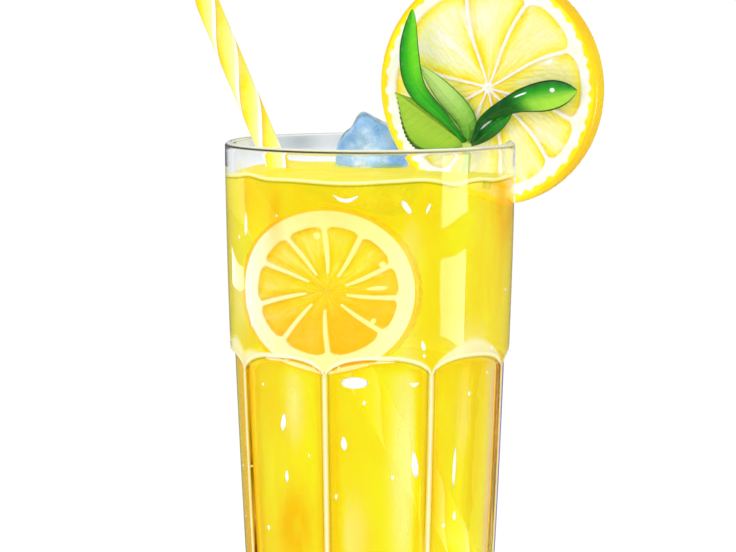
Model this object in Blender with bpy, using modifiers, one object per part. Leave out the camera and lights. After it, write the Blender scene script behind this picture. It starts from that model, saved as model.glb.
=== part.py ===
"""Glass of lemonade: a panelled tumbler with the drink, a paper straw, an ice cube, a lemon wheel
slit over the rim and a sprig of mint. Metres, +Z up, origin at the centre of the tumbler's foot.
The side that faces the viewer is -Y."""

import math

import bmesh
import bpy
from mathutils import Matrix, Vector

GAP = 0.0003
TINY = 0.000001

# Tumbler: a taper that steepens towards the foot
HEIGHT = 0.136
RIM_RADIUS = 0.040
TAPER = 0.0056
TAPER_CURVE = 1.5
RIM_WALL = 0.0024
FOOT_WALL = 0.0043
FLOOR = 0.0095
FLOOR_DOME = 0.0008
FILLET = 0.0045
HEEL = 0.0024
INNER_ROWS = (0.030, 0.055, 0.080, 0.105)
OUTER_ROWS = (0.112, 0.090)

# Arched panels pressed into the lower part of the tumbler
PANELS = 8
STEPS_PER_PANEL = 12
PANEL_TURN = math.radians(3.5)
ARCH_TOP = 0.0790
ARCH_RISE = 0.0062
ARCH_ROUND = 2.3
ARCH_BEVEL = 0.0015
PANEL_DEPTH = 0.0013
PANEL_CROWN = 0.25
RIB_FLAT = 0.045
RIB_SLOPE = 0.10
CROWDING = 1.7
PANEL_ROWS = (0.058, 0.040, 0.024, 0.008)
PANEL_END = 0.004

# Drink
LEVEL = 0.1274
DRINK_STEPS = 64

# Paper straw, which leans on the back left of the rim
STRAW_RADIUS = 0.00325
STRAW_WALL = 0.00045
STRAW_LENGTH = 0.200
STRAW_STEPS = 24
STRAW_FOOT = Vector((0.0236, 0.0020, 0.0119))
STRAW_AT_RIM = Vector((-0.0293, 0.0168, 0.1360))

# Ice cube, half sunk behind the wheel: a melting block with lumps on its left side and its peak.
# Each lump has its place across and up the block from -1 to 1, its swell and its size
ICE_HALF = Vector((0.0090, 0.0066, 0.0115))
ICE_CENTRE = Vector((0.0009, 0.0262, 0.1281))
ICE_CUTS = 8
ICE_SQUARENESS = 6.0
ICE_WAVE = 0.02
ICE_LUMPS = ((-1.0, 0.10, 0.24, 0.16), (-0.85, 1.0, 0.10, 0.10))
ICE_LEAN = math.radians(23)

# Lemon wheel, slit over the rim on the right
WHEEL_RADIUS = 0.0326
WHEEL_HALF = 0.0030
WHEEL_ROUND = 0.0012
WHEEL_CENTRE = Vector((0.0337, 0.0030, 0.1507))
WHEEL_TURN = math.radians(-24)
WHEEL_ROLL = math.radians(-13)
SEGMENTS = 9
STEPS_PER_SEGMENT = 8
CORE = 0.0024
PULP_INNER = 0.0038
PULP_MIDDLE = 0.0150
PULP_OUTER = 0.0272
PULP_EDGE = 0.0011
PULP_SHOULDER = 0.0026
PULP_SINK = 0.0004
PULP_SLOPE = 0.25
SLIT_ROWS = (0.124, 0.112)
SLIT_STEPS = 96

# Mint sprig, in front of the wheel: a stem, a joint and five leaves
STEM = (Vector((0.0258, -0.0032, 0.1236)), Vector((0.0265, -0.0027, 0.1296)),
        Vector((0.0270, -0.0020, 0.1354)))
STEM_RADIUS = 0.0010
STEM_SECTIONS = 6
STEM_STEPS = 10
JOINT_RADIUS = 0.0017
LEAF_THICKNESS = 0.0006
LEAF_NECK = 0.0007
LEAF_TIP = 0.0002
LEAF_CUP = 0.22
LEAF_WAVE = 0.0004
LEAF_STEPS = (-1.0, -0.5, 0.0, 0.5, 1.0)
TOOTH = 0.00035

# Each leaf in millimetres: places on its midrib from joint to tip, its greatest half widths on
# the left and right, where along it is widest, how slim it is off there, its rows and teeth
LEAVES = {
    "long_leaf": {
        "midrib": ((27.0, -2.0, 134.9), (20.4, -3.0, 142.4), (12.8, -2.0, 150.6),
                   (10.8, -0.6, 160.6), (11.7, 1.0, 172.3)),
        "left": 2.5, "right": 2.5, "widest": 0.66, "slim": 2.0, "rows": 16, "toothed": False},
    "back_leaf": {
        "midrib": ((27.3, -1.4, 135.2), (26.2, -0.2, 142.0), (20.0, 0.6, 149.6),
                   (13.4, 1.0, 157.2)),
        "left": 2.5, "right": 2.8, "widest": 0.50, "slim": 2.0, "rows": 12, "toothed": False},
    "broad_leaf": {
        "midrib": ((26.8, -1.6, 135.0), (16.8, -0.3, 142.2), (6.9, 0.6, 149.4)),
        "left": 8.8, "right": 2.6, "widest": 0.47, "slim": 2.8, "rows": 24, "toothed": True},
    "right_leaf": {
        "midrib": ((28.0, -2.4, 134.9), (31.0, -4.4, 142.0), (40.0, -8.0, 147.0),
                   (48.6, -11.4, 149.1), (56.7, -14.0, 150.8)),
        "left": 3.9, "right": 3.9, "widest": 0.74, "slim": 3.6, "rows": 16, "toothed": False},
    "small_leaf": {
        "midrib": ((28.2, -1.9, 135.2), (33.4, -3.6, 139.8), (39.0, -5.7, 143.8)),
        "left": 1.9, "right": 1.9, "widest": 0.50, "slim": 2.0, "rows": 8, "toothed": False},
}


def clear_scene():
    for obj in list(bpy.data.objects):
        bpy.data.objects.remove(obj, do_unlink=True)


def new_collection(name, hidden=False):
    collection = bpy.data.collections.new(name)
    bpy.context.scene.collection.children.link(collection)
    collection.hide_render = hidden
    return collection


def material(name, colour, roughness, transmission=0.0):
    made = bpy.data.materials.new(name)
    made.use_nodes = True
    shader = made.node_tree.nodes["Principled BSDF"]
    shader.inputs["Base Color"].default_value = (*colour, 1.0)
    shader.inputs["Roughness"].default_value = roughness
    shader.inputs["Metallic"].default_value = 0.0
    shader.inputs["Transmission Weight"].default_value = transmission
    made.diffuse_color = (*colour, 1.0)
    return made


def smooth_step(share):
    share = min(max(share, 0.0), 1.0)
    return share * share * (3.0 - 2.0 * share)


def object_from(name, mesh, collection):
    obj = bpy.data.objects.new(name, mesh)
    collection.objects.link(obj)
    return obj


def applied(obj, collection):
    """Replaces obj by a plain mesh object of what its modifiers make of it, faces outward."""
    name = obj.name
    bpy.context.view_layer.update()
    graph = bpy.context.evaluated_depsgraph_get()
    mesh = bpy.data.meshes.new_from_object(obj.evaluated_get(graph))
    bpy.data.objects.remove(obj, do_unlink=True)
    shape = bmesh.new()
    shape.from_mesh(mesh)
    bmesh.ops.recalc_face_normals(shape, faces=shape.faces)
    shape.to_mesh(mesh)
    shape.free()
    return object_from(name, mesh, collection)


def turned(name, profile, steps, collection, ring=False):
    """A line of (radius, height) points turned about Z. A ring's line is closed."""
    mesh = bpy.data.meshes.new(name)
    shape = bmesh.new()
    points = [shape.verts.new((radius, 0.0, height)) for radius, height in profile]
    ends = points[1:] + points[:1] if ring else points[1:]
    for start, end in zip(points, ends):
        shape.edges.new((start, end))
    shape.to_mesh(mesh)
    shape.free()
    obj = object_from(name, mesh, collection)
    turn = obj.modifiers.new("Turn", "SCREW")
    turn.axis = "Z"
    turn.steps = steps
    turn.render_steps = steps
    turn.use_merge_vertices = True
    turn.merge_threshold = 0.00005
    return applied(obj, collection)


def reshape(obj, rule):
    """Moves each vertex of obj from its place to rule(place)."""
    for vertex in obj.data.vertices:
        vertex.co = rule(vertex.co.copy())
    obj.data.update()


def boolean(obj, operation, other):
    """Applies one Boolean with an object or with all that a collection holds."""
    cut = obj.modifiers.new("Join", "BOOLEAN")
    cut.operation = operation
    cut.solver = "EXACT"
    if isinstance(other, bpy.types.Collection):
        cut.operand_type = "COLLECTION"
        cut.collection = other
    else:
        cut.object = other
    bpy.context.view_layer.update()
    graph = bpy.context.evaluated_depsgraph_get()
    mesh = bpy.data.meshes.new_from_object(obj.evaluated_get(graph))
    obj.modifiers.clear()
    obj.data = mesh


def finish(obj, look, sharp_degrees=35.0):
    obj.data.materials.clear()
    obj.data.materials.append(look)
    obj.data.shade_smooth()
    obj.data.set_sharp_from_angle(angle=math.radians(sharp_degrees))


def outer_radius(z):
    return RIM_RADIUS - TAPER * max(1.0 - z / HEIGHT, 0.0) ** TAPER_CURVE


def inner_radius(z):
    return outer_radius(z) - RIM_WALL - (FOOT_WALL - RIM_WALL) * (1.0 - z / HEIGHT)


def lip(grow=0.0):
    """The rim's rounded edge, from the inner wall over the crest to the outer wall."""
    half = RIM_WALL / 2.0
    points = []
    for degrees in (180.0, 135.0, 90.0, 45.0, 0.0):
        turn = math.radians(degrees)
        points.append((RIM_RADIUS - half + (half + grow) * math.cos(turn),
                       HEIGHT - half + (half + grow) * math.sin(turn)))
    return points


def inside_line(gap=0.0):
    """(radius, height) from the middle of the tumbler's floor up its inner wall, less a gap."""
    corner = inner_radius(FLOOR + FILLET) - FILLET
    points = [(0.0, FLOOR + FLOOR_DOME + gap), (corner * 0.6, FLOOR + FLOOR_DOME * 0.6 + gap)]
    for degrees in (90.0, 45.0, 0.0):
        turn = math.radians(degrees)
        points.append((corner + (FILLET - gap) * math.cos(turn),
                       FLOOR + FILLET - (FILLET - gap) * math.sin(turn)))
    points += [(inner_radius(z) - gap, z) for z in INNER_ROWS]
    return points


def crowded(share):
    """Moves even steps across a panel or segment towards its sides, where the shape changes."""
    return math.copysign(1.0 - (1.0 - abs(share)) ** CROWDING, share)


def repeat_of(angle, count, start):
    """The number of the repeat that an angle lies in, and where it lies across it, -1 to 1."""
    width = 2.0 * math.pi / count
    number = round((angle - start) / width)
    across = 2.0 * (angle - start - number * width) / width
    return number, crowded(min(max(across, -1.0), 1.0))


def arch_height(across):
    """The top edge of a panel, a rounded arch between two ribs."""
    drop = 1.0 - (1.0 - abs(across) ** ARCH_ROUND) ** (1.0 / ARCH_ROUND)
    return ARCH_TOP - ARCH_RISE * drop


def panel_recess(across):
    """How deep a panel is pressed in, nothing on the flat of a rib."""
    rib = smooth_step((1.0 - abs(across) - RIB_FLAT) / RIB_SLOPE)
    return PANEL_DEPTH * rib * (1.0 - PANEL_CROWN * across * across)


def make_tumbler(collection, look):
    profile = inside_line() + lip()
    profile += [(outer_radius(z), z) for z in OUTER_ROWS]
    profile += [(outer_radius(z), z) for z in (ARCH_TOP, ARCH_TOP - ARCH_BEVEL)]
    profile += [(outer_radius(z), z) for z in PANEL_ROWS + (PANEL_END,)]
    foot = outer_radius(HEEL)
    for degrees in (0.0, 45.0, 90.0):
        turn = math.radians(degrees)
        profile.append((foot - HEEL * (1.0 - math.cos(turn)), HEEL * (1.0 - math.sin(turn))))
    profile.append((0.0, 0.0))
    obj = turned("glass", profile, PANELS * STEPS_PER_PANEL, collection)
    front = -math.pi / 2.0
    width = 2.0 * math.pi / PANELS

    def press(place):
        radius = math.hypot(place.x, place.y)
        if radius < TINY:
            return place
        number, across = repeat_of(math.atan2(place.y, place.x), PANELS, front)
        angle = front + PANEL_TURN + (number + across / 2.0) * width
        z = place.z
        if radius > outer_radius(z) - TINY:
            if abs(z - ARCH_TOP) < TINY:
                z = arch_height(across)
                radius = outer_radius(z)
            elif abs(z - ARCH_TOP + ARCH_BEVEL) < TINY:
                z = arch_height(across) - ARCH_BEVEL
                radius = outer_radius(z) - panel_recess(across)
            elif PANEL_END + TINY < z < ARCH_TOP:
                radius = outer_radius(z) - panel_recess(across)
        return Vector((radius * math.cos(angle), radius * math.sin(angle), z))

    reshape(obj, press)
    finish(obj, look)


def along(direction, centre):
    """The turn that sets Z along a direction, at a centre."""
    return Matrix.Translation(centre) @ direction.to_track_quat("Z", "Y").to_matrix().to_4x4()


def straw_piece(name, profile, collection, ring):
    """A line turned about the straw's axis, with its height measured from the straw's foot."""
    obj = turned(name, profile, STRAW_STEPS, collection, ring)
    obj.data.transform(along(STRAW_AT_RIM - STRAW_FOOT, STRAW_FOOT))
    return obj


def make_straw(collection, look):
    bore = STRAW_RADIUS - STRAW_WALL
    tube = [(bore, 0.0), (bore, STRAW_LENGTH), (STRAW_RADIUS, STRAW_LENGTH), (STRAW_RADIUS, 0.0)]
    finish(straw_piece("straw", tube, collection, True), look)


def straw_cutter(collection):
    reach = STRAW_RADIUS + GAP
    rod = [(0.0, STRAW_LENGTH), (reach, STRAW_LENGTH), (reach, -GAP), (0.0, -GAP)]
    return straw_piece("straw_cutter", rod, collection, False)


def ice_block(name, collection, grow=0.0):
    """A box with rounded edges, slightly wavy faces and its lumps, leaning."""
    mesh = bpy.data.meshes.new(name)
    shape = bmesh.new()
    bmesh.ops.create_cube(shape, size=2.0)
    bmesh.ops.subdivide_edges(shape, edges=shape.edges, cuts=ICE_CUTS, use_grid_fill=True)
    bmesh.ops.triangulate(shape, faces=shape.faces)
    shape.to_mesh(mesh)
    shape.free()
    obj = object_from(name, mesh, collection)
    lean = Matrix.Rotation(ICE_LEAN, 4, "Y")

    def rounded(place):
        power = sum(abs(value) ** ICE_SQUARENESS for value in place) ** (1.0 / ICE_SQUARENESS)
        unit = place / power
        wave = math.sin(4.0 * unit.x + 1.3) * math.sin(3.0 * unit.z) + \
            math.sin(4.0 * unit.y + 2.0 * unit.x)
        swell = 1.0 + ICE_WAVE * wave
        for across, up, lump, spread in ICE_LUMPS:
            apart = (unit.x - across) ** 2 + (unit.z - up) ** 2
            swell += lump * math.exp(-apart / spread)
        size = ICE_HALF + Vector((grow, grow, grow))
        return Vector((unit.x * size.x, unit.y * size.y, unit.z * size.z)) * swell

    reshape(obj, rounded)
    obj.data.transform(Matrix.Translation(ICE_CENTRE) @ lean)
    return obj


def wheel_placing():
    """Sets the wheel upright, turned and rolled, with its own +Z towards the viewer."""
    upright = Matrix.Rotation(math.pi / 2.0, 4, "X")
    turn = Matrix.Rotation(WHEEL_TURN, 4, "Z")
    return Matrix.Translation(WHEEL_CENTRE) @ turn @ upright


def make_wheel(collection, tools, look):
    """A slice with sunken pulp between its skins, cut by the rim's wall grown by a gap."""
    shoulder = WHEEL_HALF - WHEEL_ROUND
    corner = WHEEL_ROUND * (1.0 - math.sqrt(0.5))
    face = [(0.0, WHEEL_HALF), (CORE, WHEEL_HALF), (PULP_INNER, WHEEL_HALF),
            (PULP_MIDDLE, WHEEL_HALF), (PULP_OUTER, WHEEL_HALF),
            (PULP_OUTER + PULP_EDGE, WHEEL_HALF), (WHEEL_RADIUS - WHEEL_ROUND, WHEEL_HALF)]
    profile = face + [(WHEEL_RADIUS - corner, WHEEL_HALF - corner),
                      (WHEEL_RADIUS, shoulder), (WHEEL_RADIUS, -shoulder),
                      (WHEEL_RADIUS - corner, corner - WHEEL_HALF)]
    profile += [(radius, -height) for radius, height in reversed(face)]
    obj = turned("lemon_wheel", profile, SEGMENTS * STEPS_PER_SEGMENT, collection)
    width = 2.0 * math.pi / SEGMENTS

    def shrink_pulp(place):
        radius = math.hypot(place.x, place.y)
        if radius < TINY:
            return place
        number, across = repeat_of(math.atan2(place.y, place.x), SEGMENTS, math.pi / SEGMENTS)
        angle = WHEEL_ROLL + math.pi / SEGMENTS + (number + across / 2.0) * width
        sink = 0.0
        if PULP_INNER - TINY < radius < PULP_OUTER + PULP_EDGE + TINY:
            radius -= PULP_SHOULDER * abs(across) ** 5 * (radius > PULP_MIDDLE + TINY)
            open_pulp = radius < PULP_OUTER - PULP_SHOULDER * abs(across) ** 5 + TINY
            sink = PULP_SINK * open_pulp * smooth_step((1.0 - abs(across)) / PULP_SLOPE)
        z = math.copysign(abs(place.z) - sink, place.z)
        return Vector((radius * math.cos(angle), radius * math.sin(angle), z))

    reshape(obj, shrink_pulp)
    obj.data.transform(wheel_placing())
    cutter = slit_cutter(tools)
    boolean(obj, "DIFFERENCE", cutter)
    finish(obj, look)


def slit_cutter(collection):
    """The top of the tumbler's wall, a gap larger all round."""
    low = SLIT_ROWS[-1]
    outer_wall = [(outer_radius(z) + GAP, z) for z in SLIT_ROWS]
    profile = [(inner_radius(low) - GAP, low)] + lip(GAP) + outer_wall
    cutter = turned("slit_cutter", profile, SLIT_STEPS, collection, ring=True)
    cutter.display_type = "WIRE"
    cutter.hide_render = True
    return cutter


def wheel_cutter(collection):
    reach = WHEEL_RADIUS + GAP
    half = WHEEL_HALF + GAP
    disc = [(0.0, half), (reach - WHEEL_ROUND, half), (reach, half - WHEEL_ROUND),
            (reach, WHEEL_ROUND - half), (reach - WHEEL_ROUND, -half), (0.0, -half)]
    obj = turned("wheel_cutter", disc, SEGMENTS * STEPS_PER_SEGMENT, collection)
    obj.data.transform(wheel_placing())
    return obj


def smooth_path(points, share):
    """A place on the smooth curve through evenly numbered points, with its ends carried on."""
    spans = len(points) - 1
    place = min(max(share, 0.0), 1.0) * spans
    number = min(int(place), spans - 1)
    t = place - number
    start, end = points[number], points[number + 1]
    before = points[number - 1] if number > 0 else start * 2.0 - end
    after = points[number + 2] if number + 2 <= spans else end * 2.0 - start
    bend = before * 2.0 - start * 5.0 + end * 4.0 - after
    twist = start * 3.0 - before - end * 3.0 + after
    return (start * 2.0 + (end - before) * t + bend * t * t + twist * t * t * t) * 0.5


def blade(share, widest, slim):
    """A leaf's outline: 0 at both ends and 1 where it is widest."""
    rise = (share / widest) ** widest
    fall = ((1.0 - share) / (1.0 - widest)) ** (1.0 - widest)
    return (rise * fall) ** slim


def make_leaf(name, leaf, collection):
    """A thin wavy blade about its midrib, with its face towards the viewer."""
    midrib = [Vector(place) * 0.001 for place in leaf["midrib"]]
    shape = bmesh.new()
    grid = []
    for row in range(leaf["rows"] + 1):
        share = row / leaf["rows"]
        place = smooth_path(midrib, share)
        ahead = smooth_path(midrib, share + 0.01) - smooth_path(midrib, share - 0.01)
        side = Vector((0.0, 1.0, 0.0)).cross(ahead).normalized()
        facing = ahead.cross(side).normalized()
        spread = 0.001 * blade(share, leaf["widest"], leaf["slim"])
        neck = LEAF_NECK + (LEAF_TIP - LEAF_NECK) * share
        line = []
        for across in LEAF_STEPS:
            half = neck + spread * (leaf["left"] if across < 0.0 else leaf["right"])
            if leaf["toothed"] and across == -1.0 and 2 < row < leaf["rows"]:
                half += TOOTH * (1 - 2 * (row % 2))
            lift = LEAF_CUP * half * across * across
            lift += LEAF_WAVE * math.sin(9.0 * share + 2.0 * across) * abs(across) * (1.0 - share)
            line.append(shape.verts.new(place + side * across * half + facing * lift))
        grid.append(line)
    for low, high in zip(grid, grid[1:]):
        for number in range(len(LEAF_STEPS) - 1):
            shape.faces.new((low[number], low[number + 1], high[number + 1], high[number]))
    bmesh.ops.triangulate(shape, faces=shape.faces)
    mesh = bpy.data.meshes.new(name)
    shape.to_mesh(mesh)
    shape.free()
    obj = object_from(name, mesh, collection)
    thickness = obj.modifiers.new("Thickness", "SOLIDIFY")
    thickness.thickness = LEAF_THICKNESS
    thickness.offset = 0.0
    return applied(obj, collection)


def stem_rod(name, radius, collection):
    """A round rod along the stem, capped at both ends."""
    shape = bmesh.new()
    rings = []
    for section in range(STEM_SECTIONS + 1):
        share = section / STEM_SECTIONS
        place = smooth_path(list(STEM), share)
        ahead = smooth_path(list(STEM), share + 0.01) - smooth_path(list(STEM), share - 0.01)
        placing = along(ahead, place)
        ring = []
        for step in range(STEM_STEPS):
            turn = 2.0 * math.pi * step / STEM_STEPS
            ring.append(shape.verts.new(placing @ Vector((radius * math.cos(turn),
                                                          radius * math.sin(turn), 0.0))))
        rings.append(ring)
    for low, high in zip(rings, rings[1:]):
        for step in range(STEM_STEPS):
            after = (step + 1) % STEM_STEPS
            shape.faces.new((low[step], low[after], high[after], high[step]))
    shape.faces.new(list(reversed(rings[0])))
    shape.faces.new(rings[-1])
    mesh = bpy.data.meshes.new(name)
    shape.to_mesh(mesh)
    shape.free()
    return applied(object_from(name, mesh, collection), collection)


def make_sprig(collection, look):
    leaves = new_collection("leaves")
    for name, leaf in LEAVES.items():
        make_leaf(name, leaf, leaves)
    joint = bmesh.new()
    bmesh.ops.create_icosphere(joint, subdivisions=2, radius=JOINT_RADIUS,
                               matrix=Matrix.Translation(STEM[-1]))
    mesh = bpy.data.meshes.new("joint")
    joint.to_mesh(mesh)
    joint.free()
    object_from("joint", mesh, leaves)
    obj = stem_rod("mint_sprig", STEM_RADIUS, collection)
    boolean(obj, "UNION", leaves)
    for part in list(leaves.objects):
        bpy.data.objects.remove(part, do_unlink=True)
    bpy.data.collections.remove(leaves)
    finish(obj, look, 60.0)


def stem_cutter(collection):
    """A round rod a gap larger than the stem, which runs on past its lower end."""
    return stem_rod("stem_cutter", STEM_RADIUS + GAP, collection)


def make_drink(collection, look):
    """The drink up to its level, cut round all that stands in it."""
    profile = inside_line(GAP) + [(inner_radius(LEVEL) - GAP, LEVEL), (0.0, LEVEL)]
    obj = turned("lemonade", profile, DRINK_STEPS, collection)
    standing = new_collection("standing", hidden=True)
    for cutter in (straw_cutter(standing), ice_block("ice_cutter", standing, GAP),
                   wheel_cutter(standing), stem_cutter(standing)):
        cutter.display_type = "WIRE"
        cutter.hide_render = True
        boolean(obj, "DIFFERENCE", cutter)
    finish(obj, look)


def build():
    clear_scene()
    parts = new_collection("glass_of_lemonade")
    tools = new_collection("cutters", hidden=True)
    make_tumbler(parts, material("clear_glass", (0.93, 0.95, 0.95), 0.03, 1.0))
    make_straw(parts, material("striped_paper", (0.96, 0.90, 0.40), 0.55))
    ice = ice_block("ice_cube", parts)
    finish(ice, material("ice", (0.80, 0.88, 0.94), 0.08, 0.8))
    make_wheel(parts, tools, material("lemon", (0.96, 0.86, 0.18), 0.40))
    make_sprig(parts, material("mint", (0.16, 0.52, 0.06), 0.45))
    make_drink(parts, material("drink", (0.93, 0.84, 0.06), 0.05, 0.6))


build()
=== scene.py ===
import math

import bpy
import numpy as np
from mathutils import Euler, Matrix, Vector


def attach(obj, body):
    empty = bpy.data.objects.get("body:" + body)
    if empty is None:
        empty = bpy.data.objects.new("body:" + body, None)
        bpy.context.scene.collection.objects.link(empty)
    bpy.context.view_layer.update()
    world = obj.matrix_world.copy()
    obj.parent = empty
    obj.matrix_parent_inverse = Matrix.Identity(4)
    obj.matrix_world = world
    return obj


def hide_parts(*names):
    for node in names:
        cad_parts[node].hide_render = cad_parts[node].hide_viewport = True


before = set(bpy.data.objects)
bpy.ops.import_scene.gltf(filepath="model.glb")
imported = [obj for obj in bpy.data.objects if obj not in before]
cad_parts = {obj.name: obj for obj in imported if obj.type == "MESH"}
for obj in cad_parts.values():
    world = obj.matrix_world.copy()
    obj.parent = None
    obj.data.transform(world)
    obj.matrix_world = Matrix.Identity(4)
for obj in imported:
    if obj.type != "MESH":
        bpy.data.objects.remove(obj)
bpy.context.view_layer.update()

mm = 0.001                      # every shape below is worked out in millimetres
print("frame loaded with nodes", ", ".join(sorted(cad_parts)))


# Small tools for shapes

def smoothStep(share):          # an S from 0 to 1: three squares less two cubes
    share = np.clip(share, 0.0, 1.0)
    return share * share * (3.0 - 2.0 * share)


def hump(distance, width):      # a soft bump: e to the minus square of distance over width
    return np.exp(-(distance / width) ** 2)


# A repeatable random share for whole arrays of cell numbers: what a large sine has after the point
def scatterOf(first, second, seed):
    value = np.sin(first * 127.1 + second * 311.7 + seed * 74.7) * 43758.5453
    return value - np.floor(value)


# Cells round jittered centres: how much farther the second centre is than the nearest one, and a
# random share for the cell
def cellsOf(across, along, seed):
    column, row = np.floor(across), np.floor(along)
    nearest = np.full(across.shape, 9.0)
    second = nearest.copy()
    tone = np.zeros(across.shape)
    for columnStep in (-1, 0, 1):
        for rowStep in (-1, 0, 1):
            cellColumn, cellRow = column + columnStep, row + rowStep
            centreAcross = cellColumn + 0.15 + 0.7 * scatterOf(cellColumn, cellRow, seed)
            centreAlong = cellRow + 0.15 + 0.7 * scatterOf(cellRow, cellColumn, seed + 5.0)
            far = np.hypot(across - centreAcross, along - centreAlong)
            closer = far < nearest
            second = np.where(closer, nearest, np.minimum(second, far))
            tone = np.where(closer, scatterOf(cellColumn, cellRow, seed + 9.0), tone)
            nearest = np.where(closer, far, nearest)
    return second - nearest, tone


# A smooth curve through some places: between two of them a cubic whose directions come from the
# places before and after. Shares run from 0 at the first place to 1 at the last.
def smoothPath(places, shares):
    places = np.asarray(places, float)
    spans = len(places) - 1
    carried = np.vstack([2 * places[0] - places[1], places, 2 * places[-1] - places[-2]])
    at = np.clip(shares, 0.0, 1.0) * spans
    first = np.minimum(at.astype(int), spans - 1)
    t = (at - first)[:, None]
    before, start, end, after = (carried[first + step] for step in range(4))
    bend = 2 * before - 5 * start + 4 * end - after
    twist = 3 * start - before - 3 * end + after
    return 0.5 * (2 * start + (end - before) * t + bend * t ** 2 + twist * t ** 3)


def unitOf(vectors):
    return vectors / np.linalg.norm(vectors, axis=-1, keepdims=True)


def roundAngles(count):         # even angles once round
    return np.linspace(0, 2 * math.pi, count, endpoint=False)


def addObject(name, data):
    thing = bpy.data.objects.new(name, data)
    bpy.context.scene.collection.objects.link(thing)
    return thing


# A mesh from a grid of points, four-sided between neighbouring rows and columns. The columns close
# round, the rows too on a ring, and a start or end point closes the hole at that end. Faces are
# turned outward by the sign of the enclosed volume.
def surfaceFrom(name, grid, start=None, end=None, ring=False, uv=None, masks=None, sharp=50.0):
    rows, columns = grid.shape[:2]
    points = grid.reshape(-1, 3)
    number = np.arange(rows * columns).reshape(rows, columns)
    after = (np.arange(columns) + 1) % columns
    low = np.arange(rows if ring else rows - 1)
    high = (low + 1) % rows
    quads = np.stack([number[low], number[low][:, after], number[high][:, after], number[high]], -1)
    quads = quads.reshape(-1, 4)
    if uv is None:
        uv = np.zeros((rows, columns + 1, 2))
    uvRows = np.concatenate([uv, uv[:1]]) if ring else uv
    lowUv, highUv = uvRows[low], uvRows[low + 1]
    quadUv = np.stack([lowUv[:, :-1], lowUv[:, 1:], highUv[:, 1:], highUv[:, :-1]], -2).reshape(-1, 4, 2)
    fans, fanUv, poles = [], [], []
    for pole, row, way in ((start, 0, 1), (end, rows - 1, -1)):
        if pole is not None:
            centre = np.full(columns, len(points) + len(poles))
            pairUv = (uv[row][1:], uv[row][:-1])[::way]
            fans.append(np.stack((centre,) + (number[row][after], number[row])[::way], -1))
            fanUv.append(np.stack((sum(pairUv) / 2,) + pairUv, -2))
            poles.append(np.asarray(pole, float))
    if poles:
        points = np.vstack([points] + poles)
    triangles = np.concatenate(fans) if fans else np.zeros((0, 3), int)
    trianglesUv = np.concatenate(fanUv) if fans else np.zeros((0, 3, 2))
    split = np.concatenate([quads[:, [0, 1, 2]], quads[:, [0, 2, 3]], triangles])
    a, b, c = (points[split[:, k]] for k in range(3))
    if np.einsum("ij,ij->i", a, np.cross(b, c)).sum() < 0:
        quads, quadUv = quads[:, ::-1], quadUv[:, ::-1]
        triangles, trianglesUv = triangles[:, ::-1], trianglesUv[:, ::-1]
    mesh = bpy.data.meshes.new(name)
    mesh.from_pydata((points * mm).tolist(), [], quads.tolist() + triangles.tolist())
    layer = mesh.uv_layers.new(name="UVMap")
    allUv = np.concatenate([quadUv.reshape(-1, 2), trianglesUv.reshape(-1, 2)])
    layer.data.foreach_set("uv", allUv.astype(np.float32).ravel())
    order = np.concatenate([quads.ravel(), triangles.ravel()])
    for key, values in (masks or {}).items():
        flat = values.ravel()
        if poles:
            ends = [values[row].mean() for pole, row in ((start, 0), (end, -1)) if pole is not None]
            flat = np.concatenate([flat, ends])
        kept = mesh.attributes.new(key, "FLOAT", "CORNER")
        kept.data.foreach_set("value", flat[order].astype(np.float32))
    mesh.shade_smooth()
    mesh.set_sharp_from_angle(angle=math.radians(sharp))
    return addObject(name, mesh)


# Many small closed shapes as one mesh: each has its own points and all share one list of faces
def surfacesFrom(name, points, faces):
    count, each = points.shape[:2]
    a, b, c = (points[0][faces[:, k]] for k in range(3))
    if np.einsum("ij,ij->i", a - points[0].mean(0), np.cross(b - a, c - a)).sum() < 0:
        faces = faces[:, ::-1]
    everyFace = (faces[None] + np.arange(count)[:, None, None] * each).reshape(-1, 3)
    mesh = bpy.data.meshes.new(name)
    mesh.from_pydata((points.reshape(-1, 3) * mm).tolist(), [], everyFace.tolist())
    mesh.shade_smooth()
    return addObject(name, mesh)


def turnFrom(angle, degrees):   # how far an angle is past a bearing, in degrees from -180 to 180
    return (np.degrees(angle) - degrees + 180) % 360 - 180


# A grid whose points lie at a radius and a height, at angles round Z
def turnedGrid(radius, height, angles):
    radius, height, angles = np.broadcast_arrays(radius, height, angles)
    return np.stack([radius * np.cos(angles), radius * np.sin(angles), height], -1)


def columnsOf(*stretches):      # stretches of rows joined into one column array
    return np.concatenate(stretches)[:, None]


# Gives a piece its material, and says what it rides on and the node that it replaces
def dress(piece, material, node=None):
    piece.data.materials.clear()
    piece.data.materials.append(material)
    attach(piece, "root")
    if node:
        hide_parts(node)
    print("made", piece.name, "with", len(piece.data.polygons), "faces")
    return piece


# Small tools for materials

def paint(red, green, blue):    # a screen colour, 0 to 255, as the linear colour a shader takes
    screen = np.array((red, green, blue)) / 255.0
    light = np.where(screen <= 0.04045, screen / 12.92, ((screen + 0.055) / 1.055) ** 2.4)
    return (*(float(value) for value in light), 1.0)


def newMaterial(name):
    material = bpy.data.materials.new(name)
    material.use_nodes = True
    return material, material.node_tree, material.node_tree.nodes["Principled BSDF"]


def addNode(tree, kind, inputs=None, **settings):
    node = tree.nodes.new("ShaderNode" + kind)
    for key, value in settings.items():
        setattr(node, key, value)
    setInputs(tree, node, inputs or {})
    return node


def setInputs(tree, node, inputs):
    for key, value in inputs.items():
        if isinstance(value, bpy.types.NodeSocket):
            tree.links.new(value, node.inputs[key])
        else:
            node.inputs[key].default_value = value


def mathOf(tree, operation, first, second=0.0, clamp=False):
    node = addNode(tree, "Math", {0: first, 1: second}, operation=operation, use_clamp=clamp)
    return node.outputs[0]


def times(tree, first, second, clamp=False):
    return mathOf(tree, "MULTIPLY", first, second, clamp)


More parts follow.
